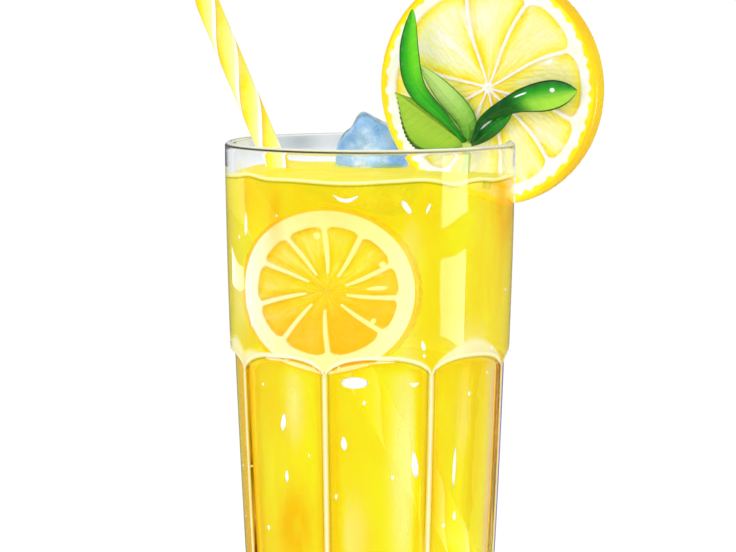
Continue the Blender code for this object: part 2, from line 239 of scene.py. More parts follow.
def mixOf(tree, share, first, second, blend="MIX"):
    node = addNode(tree, "Mix", data_type="RGBA", blend_type=blend)
    setInputs(tree, node, {0: share, 6: first, 7: second})
    return node.outputs[2]


def rampOf(tree, share, stops):
    node = addNode(tree, "ValToRGB", {"Fac": share})
    line = node.color_ramp
    while len(line.elements) < len(stops):
        line.elements.new(0.5)
    for element, (place, colour) in zip(line.elements, stops):
        element.position = place
        element.color = colour
    return node.outputs["Color"]


def greyRamp(tree, share, stops):
    return rampOf(tree, share, [(place, (value, value, value, 1.0)) for place, value in stops])


def noiseOf(tree, place, scale, detail=3.0, roughness=0.5):
    node = addNode(tree, "TexNoise", {"Vector": place, "Scale": scale, "Detail": detail,
                                      "Roughness": roughness})
    return node.outputs["Fac"]


def maskOf(tree, key):          # a value kept with the mesh
    return addNode(tree, "Attribute", attribute_name=key).outputs["Fac"]


def facingOf(tree):             # 0 face on, 1 at a grazing view
    return addNode(tree, "LayerWeight", {"Blend": 0.5}).outputs["Facing"]


def objectPlace(tree, scale=(1.0, 1.0, 1.0)):
    source = addNode(tree, "TexCoord").outputs["Object"]
    return addNode(tree, "Mapping", {"Vector": source, "Scale": scale}).outputs[0]


# Lets the studio's light reach what stands in the glass: rays that only carry light go straight
# through, tinted
def letLightIn(tree, shader, tint, depth=None):
    path = addNode(tree, "LightPath")
    lighting = mathOf(tree, "MAXIMUM", path.outputs["Is Shadow Ray"], path.outputs["Is Diffuse Ray"])
    clear = addNode(tree, "BsdfTransparent", {"Color": tint})
    both = addNode(tree, "MixShader", {0: lighting, 1: shader.outputs[0], 2: clear.outputs[0]})
    tree.links.new(both.outputs[0], tree.nodes["Material Output"].inputs["Surface"])
    if depth:
        seen = addNode(tree, "MixShader", {0: lighting, 1: depth.outputs[0]})
        tree.links.new(seen.outputs[0], tree.nodes["Material Output"].inputs["Volume"])


def bumpOf(tree, height, distance, strength=1.0):
    node = addNode(tree, "Bump", {"Height": height, "Distance": distance, "Strength": strength})
    return node.outputs["Normal"]


# Camera at the picture's angle: the rim is 80 mm wide over 290 of the picture's 736 pixels

view = {"pitch": 4.4, "target": (-0.00055, 0.0, 0.0987), "distance": 2.6, "frameWidth": 0.20306}


# Stands back from its target, pitched down; the lens is the sensor's width by the distance over the
# width that is seen there
def makeCamera():
    camera = bpy.data.cameras.new("camera")
    camera.sensor_width = 36.0
    camera.lens = camera.sensor_width * view["distance"] / view["frameWidth"]
    holder = addObject("camera", camera)
    pitch = math.radians(view["pitch"])
    back = Vector((0.0, -math.cos(pitch), math.sin(pitch)))
    holder.location = Vector(view["target"]) + view["distance"] * back
    holder.rotation_euler = Euler((math.pi / 2 - pitch, 0.0, 0.0))
    bpy.context.scene.camera = holder


makeCamera()
print("camera placed")


# Tumbler: one turned wall with eight arched panels pressed into its lower part. Collars are bearing,
# rise and width of the painted highlight, a band of milky glass, above the arches; the painted shade
# lines have place and width beside a rib, in half panels, and below an arch. The painted shade of
# the clear band near the rim has the height where it starts, how soon it is full and, outside, how
# much. The last three are bearing and width of painted reflections that tint a side panel.

tumbler = {
    "height": 136.0, "rimRadius": 40.0, "taper": 5.6, "taperCurve": 1.5,
    "rimWall": 2.4, "footWall": 4.3, "floor": 9.5, "floorDome": 0.8, "fillet": 4.5, "heel": 2.4,
    "panels": 8, "stepsPerPanel": 48, "panelTurn": 3.5,
    "archTop": 79.0, "archRise": 6.2, "archRound": 2.3, "archBevel": 1.5,
    "panelDepth": 1.3, "panelCrown": 0.25, "ribFlat": 0.045, "ribSlope": 0.10, "crowding": 1.7,
    "panelFull": 8.0, "panelEnd": 4.0, "handWave": 0.05, "waveTop": 128.0,
    "lipSteps": 25, "upperBand": 7.0, "outerRows": (22, 26, 10, 50, 7), "heelRows": 8,
    "underRows": 6, "underHole": 0.1, "underDome": 0.35,
    "ridgeHighlight": 0.010, "ridgeFade": 0.045, "ridgeHighlightShare": 0.62, "edgeShade": (0.076, 0.016, 0.62, 0.22),
    "collarLeast": 0.9, "collars": ((318, 4.6, 15), (200, 5.5, 12), (92, 3.0, 20)), "collarHighlightShare": 0.68,
    "lipShadeBearing": 222, "backShade": (128.9, 4.0), "backShadeOutside": (130.0, 5.0, 0.3),
    "lavender": (350.0, 15.0), "amber": (197.0, 8.0), "moss": (183.0, 4.5),
}


def outerRadius(z):             # narrows by a power of the share of depth below the rim
    t = tumbler
    return t["rimRadius"] - t["taper"] * np.maximum(1 - z / t["height"], 0) ** t["taperCurve"]


def innerRadius(z):             # the wall thickens evenly towards the foot
    t = tumbler
    return outerRadius(z) - t["rimWall"] - (t["footWall"] - t["rimWall"]) * (1 - z / t["height"])


# Where each column stands: its angle, and its place across its panel from -1 to 1, with the columns
# crowded towards the ribs by a power
def panelColumns():
    t = tumbler
    even = np.linspace(-1, 1, t["stepsPerPanel"], endpoint=False)
    across = np.sign(even) * (1 - (1 - np.abs(even)) ** t["crowding"])
    across = np.tile(across, t["panels"])
    panel = np.repeat(np.arange(t["panels"]), t["stepsPerPanel"])
    angle = math.radians(t["panelTurn"] - 90) + (panel + across / 2) * 2 * math.pi / t["panels"]
    return angle, across


# The floor, domed as a parabola, out to the corner, the corner's quarter circle and the inner wall,
# whose rows crowd towards the top by a power; grow moves it all into the glass
def insideLine(grow, topZ, floorRows=8, filletRows=10, wallRows=34):
    t = tumbler
    corner = float(innerRadius(t["floor"] + t["fillet"])) - t["fillet"]
    floorR = np.linspace(corner / floorRows, corner, floorRows)
    floorZ = t["floor"] + t["floorDome"] * (1 - (floorR / corner) ** 2) - grow
    turn = np.linspace(math.pi / 2, 0, filletRows)[1:]
    filletR = corner + (t["fillet"] + grow) * np.cos(turn)
    filletZ = t["floor"] + t["fillet"] - (t["fillet"] + grow) * np.sin(turn)
    low = t["floor"] + t["fillet"]
    wallZ = topZ - (topZ - low) * np.linspace(1, 0, wallRows)[1:] ** 1.4
    wallR = innerRadius(wallZ) + grow
    return np.concatenate([floorR, filletR, wallR]), np.concatenate([floorZ, filletZ, wallZ])


# The arch line of a panel: its top, dropped towards the ribs along a power curve
def archHeight(across):
    t = tumbler
    drop = 1 - (1 - np.abs(across) ** t["archRound"]) ** (1 / t["archRound"])
    return t["archTop"] - t["archRise"] * drop


# The outer wall: the turned radius, less the panel, which is full between its ribs and rounds off
# over the arch's bevel and at the foot, plus a slight wave from the mould
def wallRadius(angle, across, z):
    t = tumbler
    rib = smoothStep((1 - np.abs(across) - t["ribFlat"]) / t["ribSlope"])
    top = smoothStep((archHeight(across) - z) / t["archBevel"])
    bottom = smoothStep((z - t["panelEnd"]) / (t["panelFull"] - t["panelEnd"]))
    recess = t["panelDepth"] * (1 - t["panelCrown"] * across ** 2) * rib * top * bottom
    wave = t["handWave"] * np.sin(3 * angle + z / 17) * smoothStep((t["waveTop"] - z) / 20)
    return outerRadius(z) - recess + wave


def acrossPanel(angle):         # the place across its panel, from -1 to 1, of any angle
    t = tumbler
    turned = (angle - math.radians(t["panelTurn"] - 90)) * t["panels"] / (2 * math.pi)
    return 2 * (turned - np.round(turned))


# Masks of the outer wall. The ridge's painted highlight is 1 at a rib and fades beside it, and above
# the arches it is a collar, as high as its least and a hump for each of the collars. The painted
# shade of the panel edges is a hump beside each rib and one below each arch. A painted reflection is
# a hump about its bearing, inside the panels.
def wallMasks(angle, across, z):
    t = tumbler
    arch = archHeight(across)
    fromRib = 1 - np.abs(across)
    below = smoothStep((arch + 0.6 - z) / 0.8)
    rib = 1 - smoothStep((fromRib - t["ridgeHighlight"]) / t["ridgeFade"])
    collar = sum((rise * hump(turnFrom(angle, bearing), width)
                  for bearing, rise, width in t["collars"]), t["collarLeast"])
    above = smoothStep((z - arch + 0.4) / 0.4) * smoothStep((arch + collar - z) / (0.35 * collar))
    paintedShare = t["collarHighlightShare"]
    above = above * (paintedShare + (1 - paintedShare) * smoothStep((arch + 1.0 - z) / 0.5))
    # Painted shade: dark lines beside each rib and below each arch
    beside, besideWide, under, underWide = t["edgeShade"]
    edgeShade = hump(fromRib - beside, besideWide) * below + \
        hump(z - arch + under, underWide) * smoothStep(fromRib / 0.06)
    panel = smoothStep((arch - z) / 1.5) * smoothStep((fromRib - 0.06) / 0.05) * smoothStep((z - 6) / 6)
    masks = {"ridgeHighlight": np.maximum(rib * below, above), "edgeShade": np.clip(edgeShade, 0, 1)}
    # Painted reflections: lavender, amber and moss tints inside the side panels
    for key in ("lavender", "amber", "moss"):
        bearing, width = t[key]
        masks[key] = panel * hump(turnFrom(angle, bearing), width)
    return masks


# One turned surface up the inside, round the lip, down the outer wall, round the heel and in under
# the foot, which rises as a parabola. The outer rows follow the arches. Round the lip, shares run
# from 0 inside to 1 outside: a painted highlight makes it pale between two of them, and its painted
# shade is two dark humps. The painted shade near the rim is streaked by a product of sines round the
# wall.
def makeTumbler(material):
    t = tumbler
    angle, across = panelColumns()
    wide = np.ones_like(angle)
    half = t["rimWall"] / 2
    lipZ = t["height"] - half
    insideR, insideZ = insideLine(0.0, lipZ)
    turn = np.linspace(math.pi, 0, t["lipSteps"])[1:]
    lipR = t["rimRadius"] - half + half * np.cos(turn)
    lipTop = lipZ + half * np.sin(turn)
    arch = archHeight(across)
    band, bevel = arch + t["upperBand"], arch - t["archBevel"]
    upper, middle, edge, panel, end = (np.linspace(0, 1, rows)[1:, None] for rows in t["outerRows"])
    outZ = np.concatenate([
        lipZ + (band - lipZ) * upper ** 1.3, band - t["upperBand"] * middle,
        arch - t["archBevel"] * edge, bevel + (t["panelFull"] - bevel) * panel,
        (t["panelFull"] + (t["panelEnd"] - t["panelFull"]) * end) * wide])
    outR = wallRadius(angle, across, outZ)
    heelTurn = np.linspace(0, math.pi / 2, t["heelRows"])[:, None]
    foot = outerRadius(t["heel"])
    heelR = foot - t["heel"] * (1 - np.cos(heelTurn))
    heelZ = t["heel"] * (1 - np.sin(heelTurn))
    inward = np.linspace(1, t["underHole"], t["underRows"])[1:, None]
    underR, underZ = inward * (foot - t["heel"]), t["underDome"] * (1 - inward ** 2)
    radius = np.concatenate([columnsOf(insideR, lipR) * wide, outR,
                             np.concatenate([heelR, underR]) * wide])
    height = np.concatenate([columnsOf(insideZ, lipTop) * wide, outZ,
                             np.concatenate([heelZ, underZ]) * wide])
    rimward = columnsOf(insideZ * 0, 1 - turn / math.pi)
    onLip = columnsOf(insideZ * 0, turn * 0 + 1)
    # Painted shade, grey and blue, near the rim on the wall behind the drink, streaked round the wall
    away = smoothStep(0.35 + 1.1 * np.sin(angle))           # 1 on the wall behind the drink
    streak = (0.75 + 0.25 * np.sin(5 * angle + 1) * np.sin(11 * angle)) * away
    # The lip's painted shade is strongest towards one bearing
    front = 0.60 + 0.40 * np.cos(angle - math.radians(t["lipShadeBearing"]))
    shadeZ, shadeFade = t["backShade"]
    backShade = smoothStep((columnsOf(insideZ, lipTop) - shadeZ) / shadeFade)
    insideMasks = {
        "lip": onLip * smoothStep((rimward - 0.12) / 0.12) * smoothStep((0.80 - rimward) / 0.06) * wide,
        "lipShade": onLip * (hump(rimward - 0.89, 0.09) * front * 1.2 + hump(rimward - 0.42, 0.05) * 0.6),
        "backShade": backShade * (rimward < 0.45) * streak}
    masks = wallMasks(angle, across, outZ)
    below = np.zeros((len(heelR) + len(underR), len(angle)))
    blank = np.zeros((len(insideZ) + len(turn), len(angle)))
    outsideZ, outsideFade, outsideShare = t["backShadeOutside"]
    masks["backShade"] = outsideShare * smoothStep((outZ - outsideZ) / outsideFade) * streak
    masks["lip"] = masks["lipShade"] = 0.0 * outZ
    masks = {key: np.concatenate([insideMasks.get(key, blank), values, below])
             for key, values in masks.items()}
    piece = surfaceFrom("tumbler", turnedGrid(radius, height, angle),
                        start=(0, 0, t["floor"] + t["floorDome"]), end=(0, 0, t["underDome"]),
                        masks=masks, sharp=60)
    return dress(piece, material, "glass")


# Painted light on the glass: shade near the rim, reflections in side panels, highlights on ridges and lip,
# dark shade lines
glassPaintedLight = (                  # mask, how much of it shows, and its colour
    ("backShade", 0.95, (0.22, 0.29, 0.32, 1)), ("lavender", 1.0, (0.20, 0.16, 0.66, 1)),
    ("amber", 0.9, (1.0, 0.42, 0.0, 1)), ("moss", 0.9, (0.30, 0.42, 0.02, 1)),
    ("ridgeHighlight", 1.0, (0.94, 0.98, 0.80, 1)), ("lip", 1.0, (0.80, 0.84, 0.86, 1)),
    ("edgeShade", 0.7, (0.16, 0.10, 0.0, 1)), ("lipShade", 1.0, (0.018, 0.018, 0.020, 1)))


# Clear, darkened and cooler at grazing angles as painted shade, with the faint waviness of pressed
# glass; on its rounded ridges and arch edges painted highlights make milky lines, and painted shade
# and reflections tint its lip, its band below the rim and its side panels
def glassMaterial():
    material, tree, shader = newMaterial("pressedGlass")
    edge = facingOf(tree)
    place = objectPlace(tree)
    smudge = noiseOf(tree, place, 90.0, 4.0)
    shares = {key: maskOf(tree, key)
              for key in ("ridgeHighlight", "edgeShade", "lipShade", "lip", "backShade", "lavender", "amber", "moss")}
    # Painted shade: the glass darkens and cools towards grazing angles
    tone = rampOf(tree, edge, [(0.0, (0.97, 0.985, 0.99, 1)), (0.80, (0.94, 0.96, 0.97, 1)),
                               (0.94, (0.66, 0.72, 0.74, 1)), (1.0, (0.22, 0.27, 0.31, 1))])
    grazing = greyRamp(tree, edge, [(0.45, 0.0), (0.65, 1.0)])
    # The painted reflections show only at grazing angles
    for key in ("lavender", "amber", "moss"):
        shares[key] = times(tree, shares[key], grazing)
    for key, share, colour in glassPaintedLight:
        tone = mixOf(tree, times(tree, shares[key], share), tone, colour)
    # Where painted light or shade lies, the glass is less clear and a little rougher
    paintedShare = times(tree, shares["ridgeHighlight"], tumbler["ridgeHighlightShare"])
    for key, share in (("lavender", 0.95), ("lip", 0.85), ("lipShade", 0.8)):
        paintedShare = mathOf(tree, "MAXIMUM", paintedShare, times(tree, shares[key], share))
    rough = mathOf(tree, "MAXIMUM", greyRamp(tree, smudge, [(0.45, 0.0), (0.8, 0.03)]),
                   times(tree, paintedShare, 0.4))
    setInputs(tree, shader, {
        "Base Color": tone, "Roughness": rough, "IOR": 1.5,
        "Transmission Weight": mathOf(tree, "SUBTRACT", 1.0, paintedShare, True),
        "Specular IOR Level": 0.35, "Specular Tint": (0.15, 0.15, 0.155, 1),
        "Normal": bumpOf(tree, noiseOf(tree, place, 60.0, 2.0), 0.0004, 0.25)})
    letLightIn(tree, shader, (0.98, 0.99, 1.0, 1))
    return material


makeTumbler(glassMaterial())


# Drink: fills the wall a little way in, with a raised edge where it meets glass, straw and wheel.
# Ripples are bearing, rise and width of the waves at its edge. The painted shading is bearing,
# height, half width, half height and amount: above 0 deeper and warmer as painted shade, below 0
# paler as painted light. The round wall gathers light on what stands in the drink.

drink = {
    "level": 127.4, "intoWall": 0.2, "columns": 256, "wallRows": 60, "climbRows": 16, "surfaceRows": 46,
    "climbFrom": 3.0, "sag": 0.35, "edgeRise": 0.6, "edgeWidth": 1.5, "rippleReach": 4.0, "wave": 0.16,
    "strawClimb": 0.7, "brim": 0.95, "line": 1.25, "border": 0.6, "borderFrom": 0.66,
    "ripples": ((212, 0.9, 8), (257, -0.3, 14), (291, 0.7, 8), (307, -1.0, 7), (335, -0.4, 14),
                (30, 0.6, 9), (75, -0.6, 12), (130, 0.7, 10)),
    "paintedShading": ((344, 121, 15, 12, 1.5), (262, 120, 34, 7, 0.45), (208, 123, 12, 8, 0.5),
               (227, 119, 4, 10, 0.7), (327, 118, 8, 9, -0.35), (287, 114, 5, 12, -0.3),
               (232, 32, 11, 12, 1.3), (323, 55, 6, 24, 0.4), (303, 40, 5, 22, 0.6),
               (338, 96, 6, 16, 0.4), (286, 50, 5, 26, -0.9), (234, 66, 4, 9, -0.7),
               (318, 62, 5, 12, -0.5), (262, 30, 5, 8, -0.6), (200, 92, 6, 7, -0.5),
               (318, 84, 12, 4, -0.5)),
    "absorb": (0.54, 0.54, 0.0, 1.0), "absorbDensity": 70.0,
    "haze": (0.70, 0.665, 0.002, 1.0), "hazeLight": 46.0, "gathered": (1.22, 1.22, 1.25, 1.0),
}


def drinkEdge():
    return float(innerRadius(drink["level"])) + drink["intoWall"]


# The surface: the level less a sag, plus what climbs the wall and the straw and fades as a power of e
# with the distance, the ripples as humps along the wall, and small waves as crossed sines
def drinkSurface(x, y):
    d = drink
    inward = drinkEdge() - np.hypot(x, y)
    angle = np.arctan2(y, x)
    ripple = sum(rise * hump(turnFrom(angle, bearing), width) for bearing, rise, width in d["ripples"])
    strawX, strawY = strawAxisAt(d["level"])
    toStraw = np.hypot(x - strawX, y - strawY) - straw["radius"]
    waves = np.sin(x / 4.1 + 0.6) * np.sin(y / 5.3 + 1.0) + 0.6 * np.sin((x + y) / 2.9)
    return (d["level"] - d["sag"] + d["edgeRise"] * np.exp(-inward / d["edgeWidth"]) +
            ripple * np.exp(-inward / d["rippleReach"]) + d["wave"] * waves +
            d["strawClimb"] * np.exp(-np.abs(toStraw)))


# The sum of the painted shading, each patch a hump across by a hump up, the same again on the far
# side, with a warm border of painted shade inside the ribs and the arch of each panel
def shadingAt(angle, z):
    d = drink
    across = acrossPanel(angle)
    into = archHeight(across) - z
    besideRib = smoothStep((np.abs(across) - d["borderFrom"]) / 0.2)
    total = d["border"] * np.maximum(besideRib, smoothStep((5.0 - into) / 4.0)) * smoothStep(into)
    for bearing, height, wide, tall, amount in d["paintedShading"]:
        for turned in (0, 180):
            total = total + amount * hump(turnFrom(angle, bearing + turned), wide) * hump(z - height, tall)
    return total


# The tumbler's inside grown a little into its wall, rows that climb from there to the wavy edge, and
# rings of the surface that crowd towards the wall. The brim's painted highlight lies just below the
# edge, and the line, a painted shade, is a hump a little deeper.
def makeDrink(material):
    d = drink
    low = d["level"] - d["climbFrom"]
    wallR, wallZ = insideLine(d["intoWall"], low, wallRows=d["wallRows"])
    angle = roundAngles(d["columns"])
    side = turnedGrid(wallR[:, None], wallZ[:, None], angle)
    edgeR = drinkEdge()
    edgeZ = drinkSurface(edgeR * np.cos(angle), edgeR * np.sin(angle))
    climb = np.linspace(0, 1, d["climbRows"])[1:-1, None]
    climbZ = low * (1 - climb) + edgeZ * climb
    climbGrid = turnedGrid(innerRadius(climbZ) + d["intoWall"], climbZ, angle)
    shares = np.linspace(0, 1, d["surfaceRows"])[:-1]
    flat = turnedGrid(edgeR * (1 - shares ** 1.5)[:, None], 0.0, angle)
    flat[..., 2] = drinkSurface(flat[..., 0], flat[..., 1])
    grid = np.concatenate([side, climbGrid, flat])
    onTop = np.zeros(grid.shape[:2])
    onTop[-len(flat):] = smoothStep(shares / 0.04)[:, None]
    down = edgeZ - grid[..., 2]
    onSide = 1 - onTop
    shading = shadingAt(angle, grid[..., 2]) * onSide
    middle = (0, 0, float(drinkSurface(np.zeros(1), np.zeros(1))[0]))
    foot = (0, 0, tumbler["floor"] + tumbler["floorDome"] - d["intoWall"])
    # Warm marks painted shade and pale marks painted light
    masks = {"top": onTop, "brim": smoothStep((d["brim"] - down) / 0.3) * onSide,
             "line": hump(down - d["line"], 0.25) * onSide,
             "warm": np.clip(shading, 0, 1), "pale": np.clip(-shading, 0, 1)}
    piece = surfaceFrom("lemonadeBody", grid, start=foot, end=middle, masks=masks, sharp=70)
    return dress(piece, material, "lemonade")


# Cloudy lemonade: yellow with drifting tones, warmer where painted shade lies and paler where
# painted light lies, deeper yellow at grazing angles as painted shade, with a painted highlight and
# shade at its brim. Its surface and brim let little through; what it takes in and the glow of its
# haze, a painted glow, stand for the scattering of the pulp.
def drinkMaterial():
    material, tree, shader = newMaterial("cloudyLemonade")
    shares = {key: maskOf(tree, key) for key in ("top", "brim", "line", "warm", "pale")}
    place = objectPlace(tree, (1.0, 1.0, 0.45))
    drift = noiseOf(tree, place, 42.0, 3.0, 0.55)
    wisp = noiseOf(tree, place, 150.0, 4.0, 0.6)
    tone = rampOf(tree, drift, [(0.30, (1.0, 0.56, 0.30, 1)), (0.45, (1.0, 0.74, 0.58, 1)),
                                (0.58, (1.0, 0.89, 0.70, 1)), (0.70, (0.98, 0.98, 0.76, 1))])
    edge = facingOf(tree)
    # Painted shade: deeper yellow at grazing angles, for the longer way through the drink
    tone = mixOf(tree, greyRamp(tree, edge, [(0.25, 0.0), (0.60, 1.0)]), tone, (1.0, 0.97, 0.10, 1),
                 "MULTIPLY")
    torn = times(tree, wisp, 1.9, True)
    pale = times(tree, shares["pale"], torn, True)
    # Painted shade warms the tone and painted light pales it
    tone = mixOf(tree, times(tree, shares["warm"], torn, True), tone, (1.0, 0.38, 0.01, 1))
    tone = mixOf(tree, pale, tone, (0.96, 0.93, 0.36, 1))
    swirl = mathOf(tree, "ADD", times(tree, drift, 0.75), times(tree, wisp, 0.25))
    surface = rampOf(tree, swirl, [(0.36, (0.92, 0.75, 0.03, 1)), (0.50, (0.93, 0.80, 0.05, 1)),
                                   (0.64, (0.94, 0.85, 0.11, 1))])
    tone = mixOf(tree, shares["top"], tone, surface)
    # Painted highlight at the brim, then a dark painted shade line below it
    tone = mixOf(tree, shares["brim"], tone, (1.0, 0.97, 0.62, 1))
    tone = mixOf(tree, times(tree, shares["line"], 0.85), tone, (0.16, 0.12, 0.0, 1))
    solid = mathOf(tree, "MAXIMUM", times(tree, shares["top"], 0.90), times(tree, shares["brim"], 0.6))
    solid = mathOf(tree, "MAXIMUM", solid, times(tree, pale, 0.55))
    setInputs(tree, shader, {
        "Base Color": tone, "Roughness": greyRamp(tree, drift, [(0.3, 0.0), (0.8, 0.04)]),
        "Transmission Weight": mathOf(tree, "SUBTRACT", 1.0, solid, True), "IOR": 1.33,
        "Specular IOR Level": 0.0, "Specular Tint": (0.2, 0.2, 0.2, 1),
        "Coat Weight": times(tree, shares["top"], greyRamp(tree, edge, [(0.55, 1.0), (0.85, 0.0)])),
        "Coat Roughness": 0.04, "Coat IOR": 1.33})
    depth = addNode(tree, "VolumeAbsorption", {"Color": drink["absorb"],
                                               "Density": drink["absorbDensity"]})
    # The haze glows of itself: painted light in place of the light its pulp scatters
    haze = addNode(tree, "Emission", {"Color": drink["haze"], "Strength": drink["hazeLight"]})
    letLightIn(tree, shader, drink["gathered"],
               addNode(tree, "AddShader", {0: depth.outputs[0], 1: haze.outputs[0]}))
    return material


# Straw: a thin paper tube, wound in a spiral, that leans on the back left of the rim. The seam's slope
# makes a height into a distance across the seam; unroll is the height of one step of the UV map.

straw = {
    "radius": 3.25, "wall": 0.45, "length": 200.0, "columns": 72, "rows": 260,
    "foot": (23.6, 2.0, 11.9), "atRim": (-29.3, 16.8, 136.0),
    "starts": 3, "pitch": 16.5, "seamDepth": 0.05, "seamWide": 0.25, "seamSlope": 0.45, "unroll": 100.0,
}


def strawAxisAt(z):             # where the line from foot to rim passes a height
    foot, rim = np.array(straw["foot"]), np.array(straw["atRim"])
    return (foot + (rim - foot) * (z - foot[2]) / (rim[2] - foot[2]))[:2]


# A ring profile, up the bore and down the outside, carried round the straw's axis. The outside dips
# by a hump along the spiral where two turns of paper meet: where the share round, times the number
# of starts, less the height over the pitch is whole. The unrolled paper gives the UV map.
def makeStraw(material):
    s = straw
    foot, rim = np.array(s["foot"]), np.array(s["atRim"])
    ahead = unitOf(rim - foot)
    side = unitOf(np.cross((0.0, 1.0, 0.0), ahead))
    facing = np.cross(ahead, side)
    bore, edge = s["radius"] - s["wall"], s["wall"] / 2
    turn = np.linspace(math.pi, 0, 7)[1:-1]
    rise = np.linspace(edge, s["length"] - edge, s["rows"])
    radius = columnsOf(np.full(s["rows"], bore), bore + edge + edge * np.cos(turn),
                       np.full(s["rows"], s["radius"]), bore + edge - edge * np.cos(turn))
    height = columnsOf(rise, s["length"] - edge + edge * np.sin(turn), rise[::-1],
                       edge - edge * np.sin(turn))
    angle = roundAngles(s["columns"])
    phase = s["starts"] * angle / (2 * math.pi) - height / s["pitch"]
    offSeam = np.abs(phase - np.round(phase)) * s["pitch"] * s["seamSlope"]
    outside = (radius > bore + edge) * np.ones_like(phase)
    radius = radius - s["seamDepth"] * hump(offSeam, s["seamWide"]) * outside
    around = side * np.cos(angle)[:, None] + facing * np.sin(angle)[:, None]
    grid = foot + ahead * (height[..., None] * np.ones((1, s["columns"], 1))) + \
        around[None] * radius[..., None]
    turns = np.broadcast_to(np.linspace(0, 1, s["columns"] + 1), (len(height), s["columns"] + 1))
    uv = np.stack([turns, np.broadcast_to(height / s["unroll"], turns.shape)], -1)
    piece = surfaceFrom("paperStraw", grid, ring=True, uv=uv, sharp=70)
    return dress(piece, material, "straw")


# Spiral bands read from the unrolled paper: deep yellow that fades to pale, then a white band
def strawMaterial():
    s = straw
    material, tree, shader = newMaterial("stripedPaper")
    source = addNode(tree, "UVMap", uv_map="UVMap").outputs[0]
    parts = addNode(tree, "SeparateXYZ", {0: source})
    along = times(tree, parts.outputs[1], -s["unroll"] / s["pitch"])
    spiral = times(tree, parts.outputs[0], float(s["starts"]))
    grainPlace = addNode(tree, "Mapping", {"Vector": source, "Scale": (20, 110, 1)}).outputs[0]
    fibre = noiseOf(tree, grainPlace, 1.0, 4.0, 0.6)
    softPlace = addNode(tree, "Mapping", {"Vector": source, "Scale": (3, 9, 1)}).outputs[0]
    blot = noiseOf(tree, softPlace, 1.0, 3.0)
    wobble = times(tree, fibre, 0.04)
    band = mathOf(tree, "FRACT", mathOf(tree, "ADD", mathOf(tree, "ADD", along, spiral), wobble))
    stripes = rampOf(tree, band, [(0.0, paint(250, 196, 0)), (0.10, paint(255, 216, 0)),
                                  (0.30, paint(252, 234, 10)), (0.52, paint(244, 242, 110)),
                                  (0.78, paint(244, 244, 160)), (0.84, paint(252, 251, 240)),
                                  (0.97, paint(252, 251, 240)), (0.985, paint(200, 180, 60))])
    stripes = mixOf(tree, greyRamp(tree, blot, [(0.5, 0.0), (0.75, 0.55)]), stripes, paint(250, 246, 170))
    speck = rampOf(tree, fibre, [(0.3, (0.90, 0.90, 0.88, 1)), (0.6, (1, 1, 1, 1))])
    setInputs(tree, shader, {
        "Base Color": mixOf(tree, 0.6, stripes, speck, "MULTIPLY"),
        "Roughness": greyRamp(tree, fibre, [(0.3, 0.42), (0.7, 0.58)]),
        "Specular IOR Level": 0.35, "Normal": bumpOf(tree, fibre, 0.00012, 0.5)})
    return material


makeDrink(drinkMaterial())
makeStraw(strawMaterial())


# Ice cube: a melting rounded block with two lumps, leaning behind the wheel. Each lump has its
# place across and up the block from -1 to 1, its swell and its size.

ice = {
    "half": (9.0, 6.6, 11.5), "centre": (0.9, 26.2, 128.1), "squareness": 6.0, "wave": 0.02,
    "melt": (0.016, 0.012),
    "lumps": ((-1.0, 0.10, 0.24, 0.16), (-0.85, 1.0, 0.10, 0.10)), "lean": 23.0,
    "rows": 130, "columns": 200,
}


# Directions all round, pushed out to a rounded block by a power sum and swelled by broad waves, two
# finer melt waves, all crossed sines, and a bell for each lump, then leaned about Y
def makeIce(material):
    i = ice
    down = np.linspace(0, math.pi, i["rows"] + 2)[:, None]
    about = roundAngles(i["columns"])[None, :]
    way = np.stack(np.broadcast_arrays(np.sin(down) * np.cos(about), np.sin(down) * np.sin(about),
                                       np.cos(down)), -1)
    power = (np.abs(way) ** i["squareness"]).sum(-1, keepdims=True) ** (1 / i["squareness"])
    unit = way / power
    x, y, z = unit[..., 0], unit[..., 1], unit[..., 2]
    wave = np.sin(4.0 * x + 1.3) * np.sin(3.0 * z) + np.sin(4.0 * y + 2.0 * x)
    broad, fine = i["melt"]
    melt = broad * np.sin(9 * x + 4 * z) * np.sin(8 * y - 5 * z + 1) + \
        fine * np.sin(15 * z + 7 * x) * np.sin(13 * y + 2)
    lumps = sum(swell * np.exp(-((x - across) ** 2 + (z - up) ** 2) / size)
                for across, up, swell, size in i["lumps"])
    block = unit * np.array(i["half"]) * (1 + i["wave"] * wave + lumps + melt)[..., None]
    lean = math.radians(i["lean"])
    grid = np.stack([block[..., 0] * math.cos(lean) + block[..., 2] * math.sin(lean), block[..., 1],
                     block[..., 2] * math.cos(lean) - block[..., 0] * math.sin(lean)], -1)
    grid = grid + np.array(i["centre"])
    piece = surfaceFrom("iceCube", grid[1:-1], start=grid[0, 0], end=grid[-1, 0], sharp=80)
    return dress(piece, material, "ice_cube")


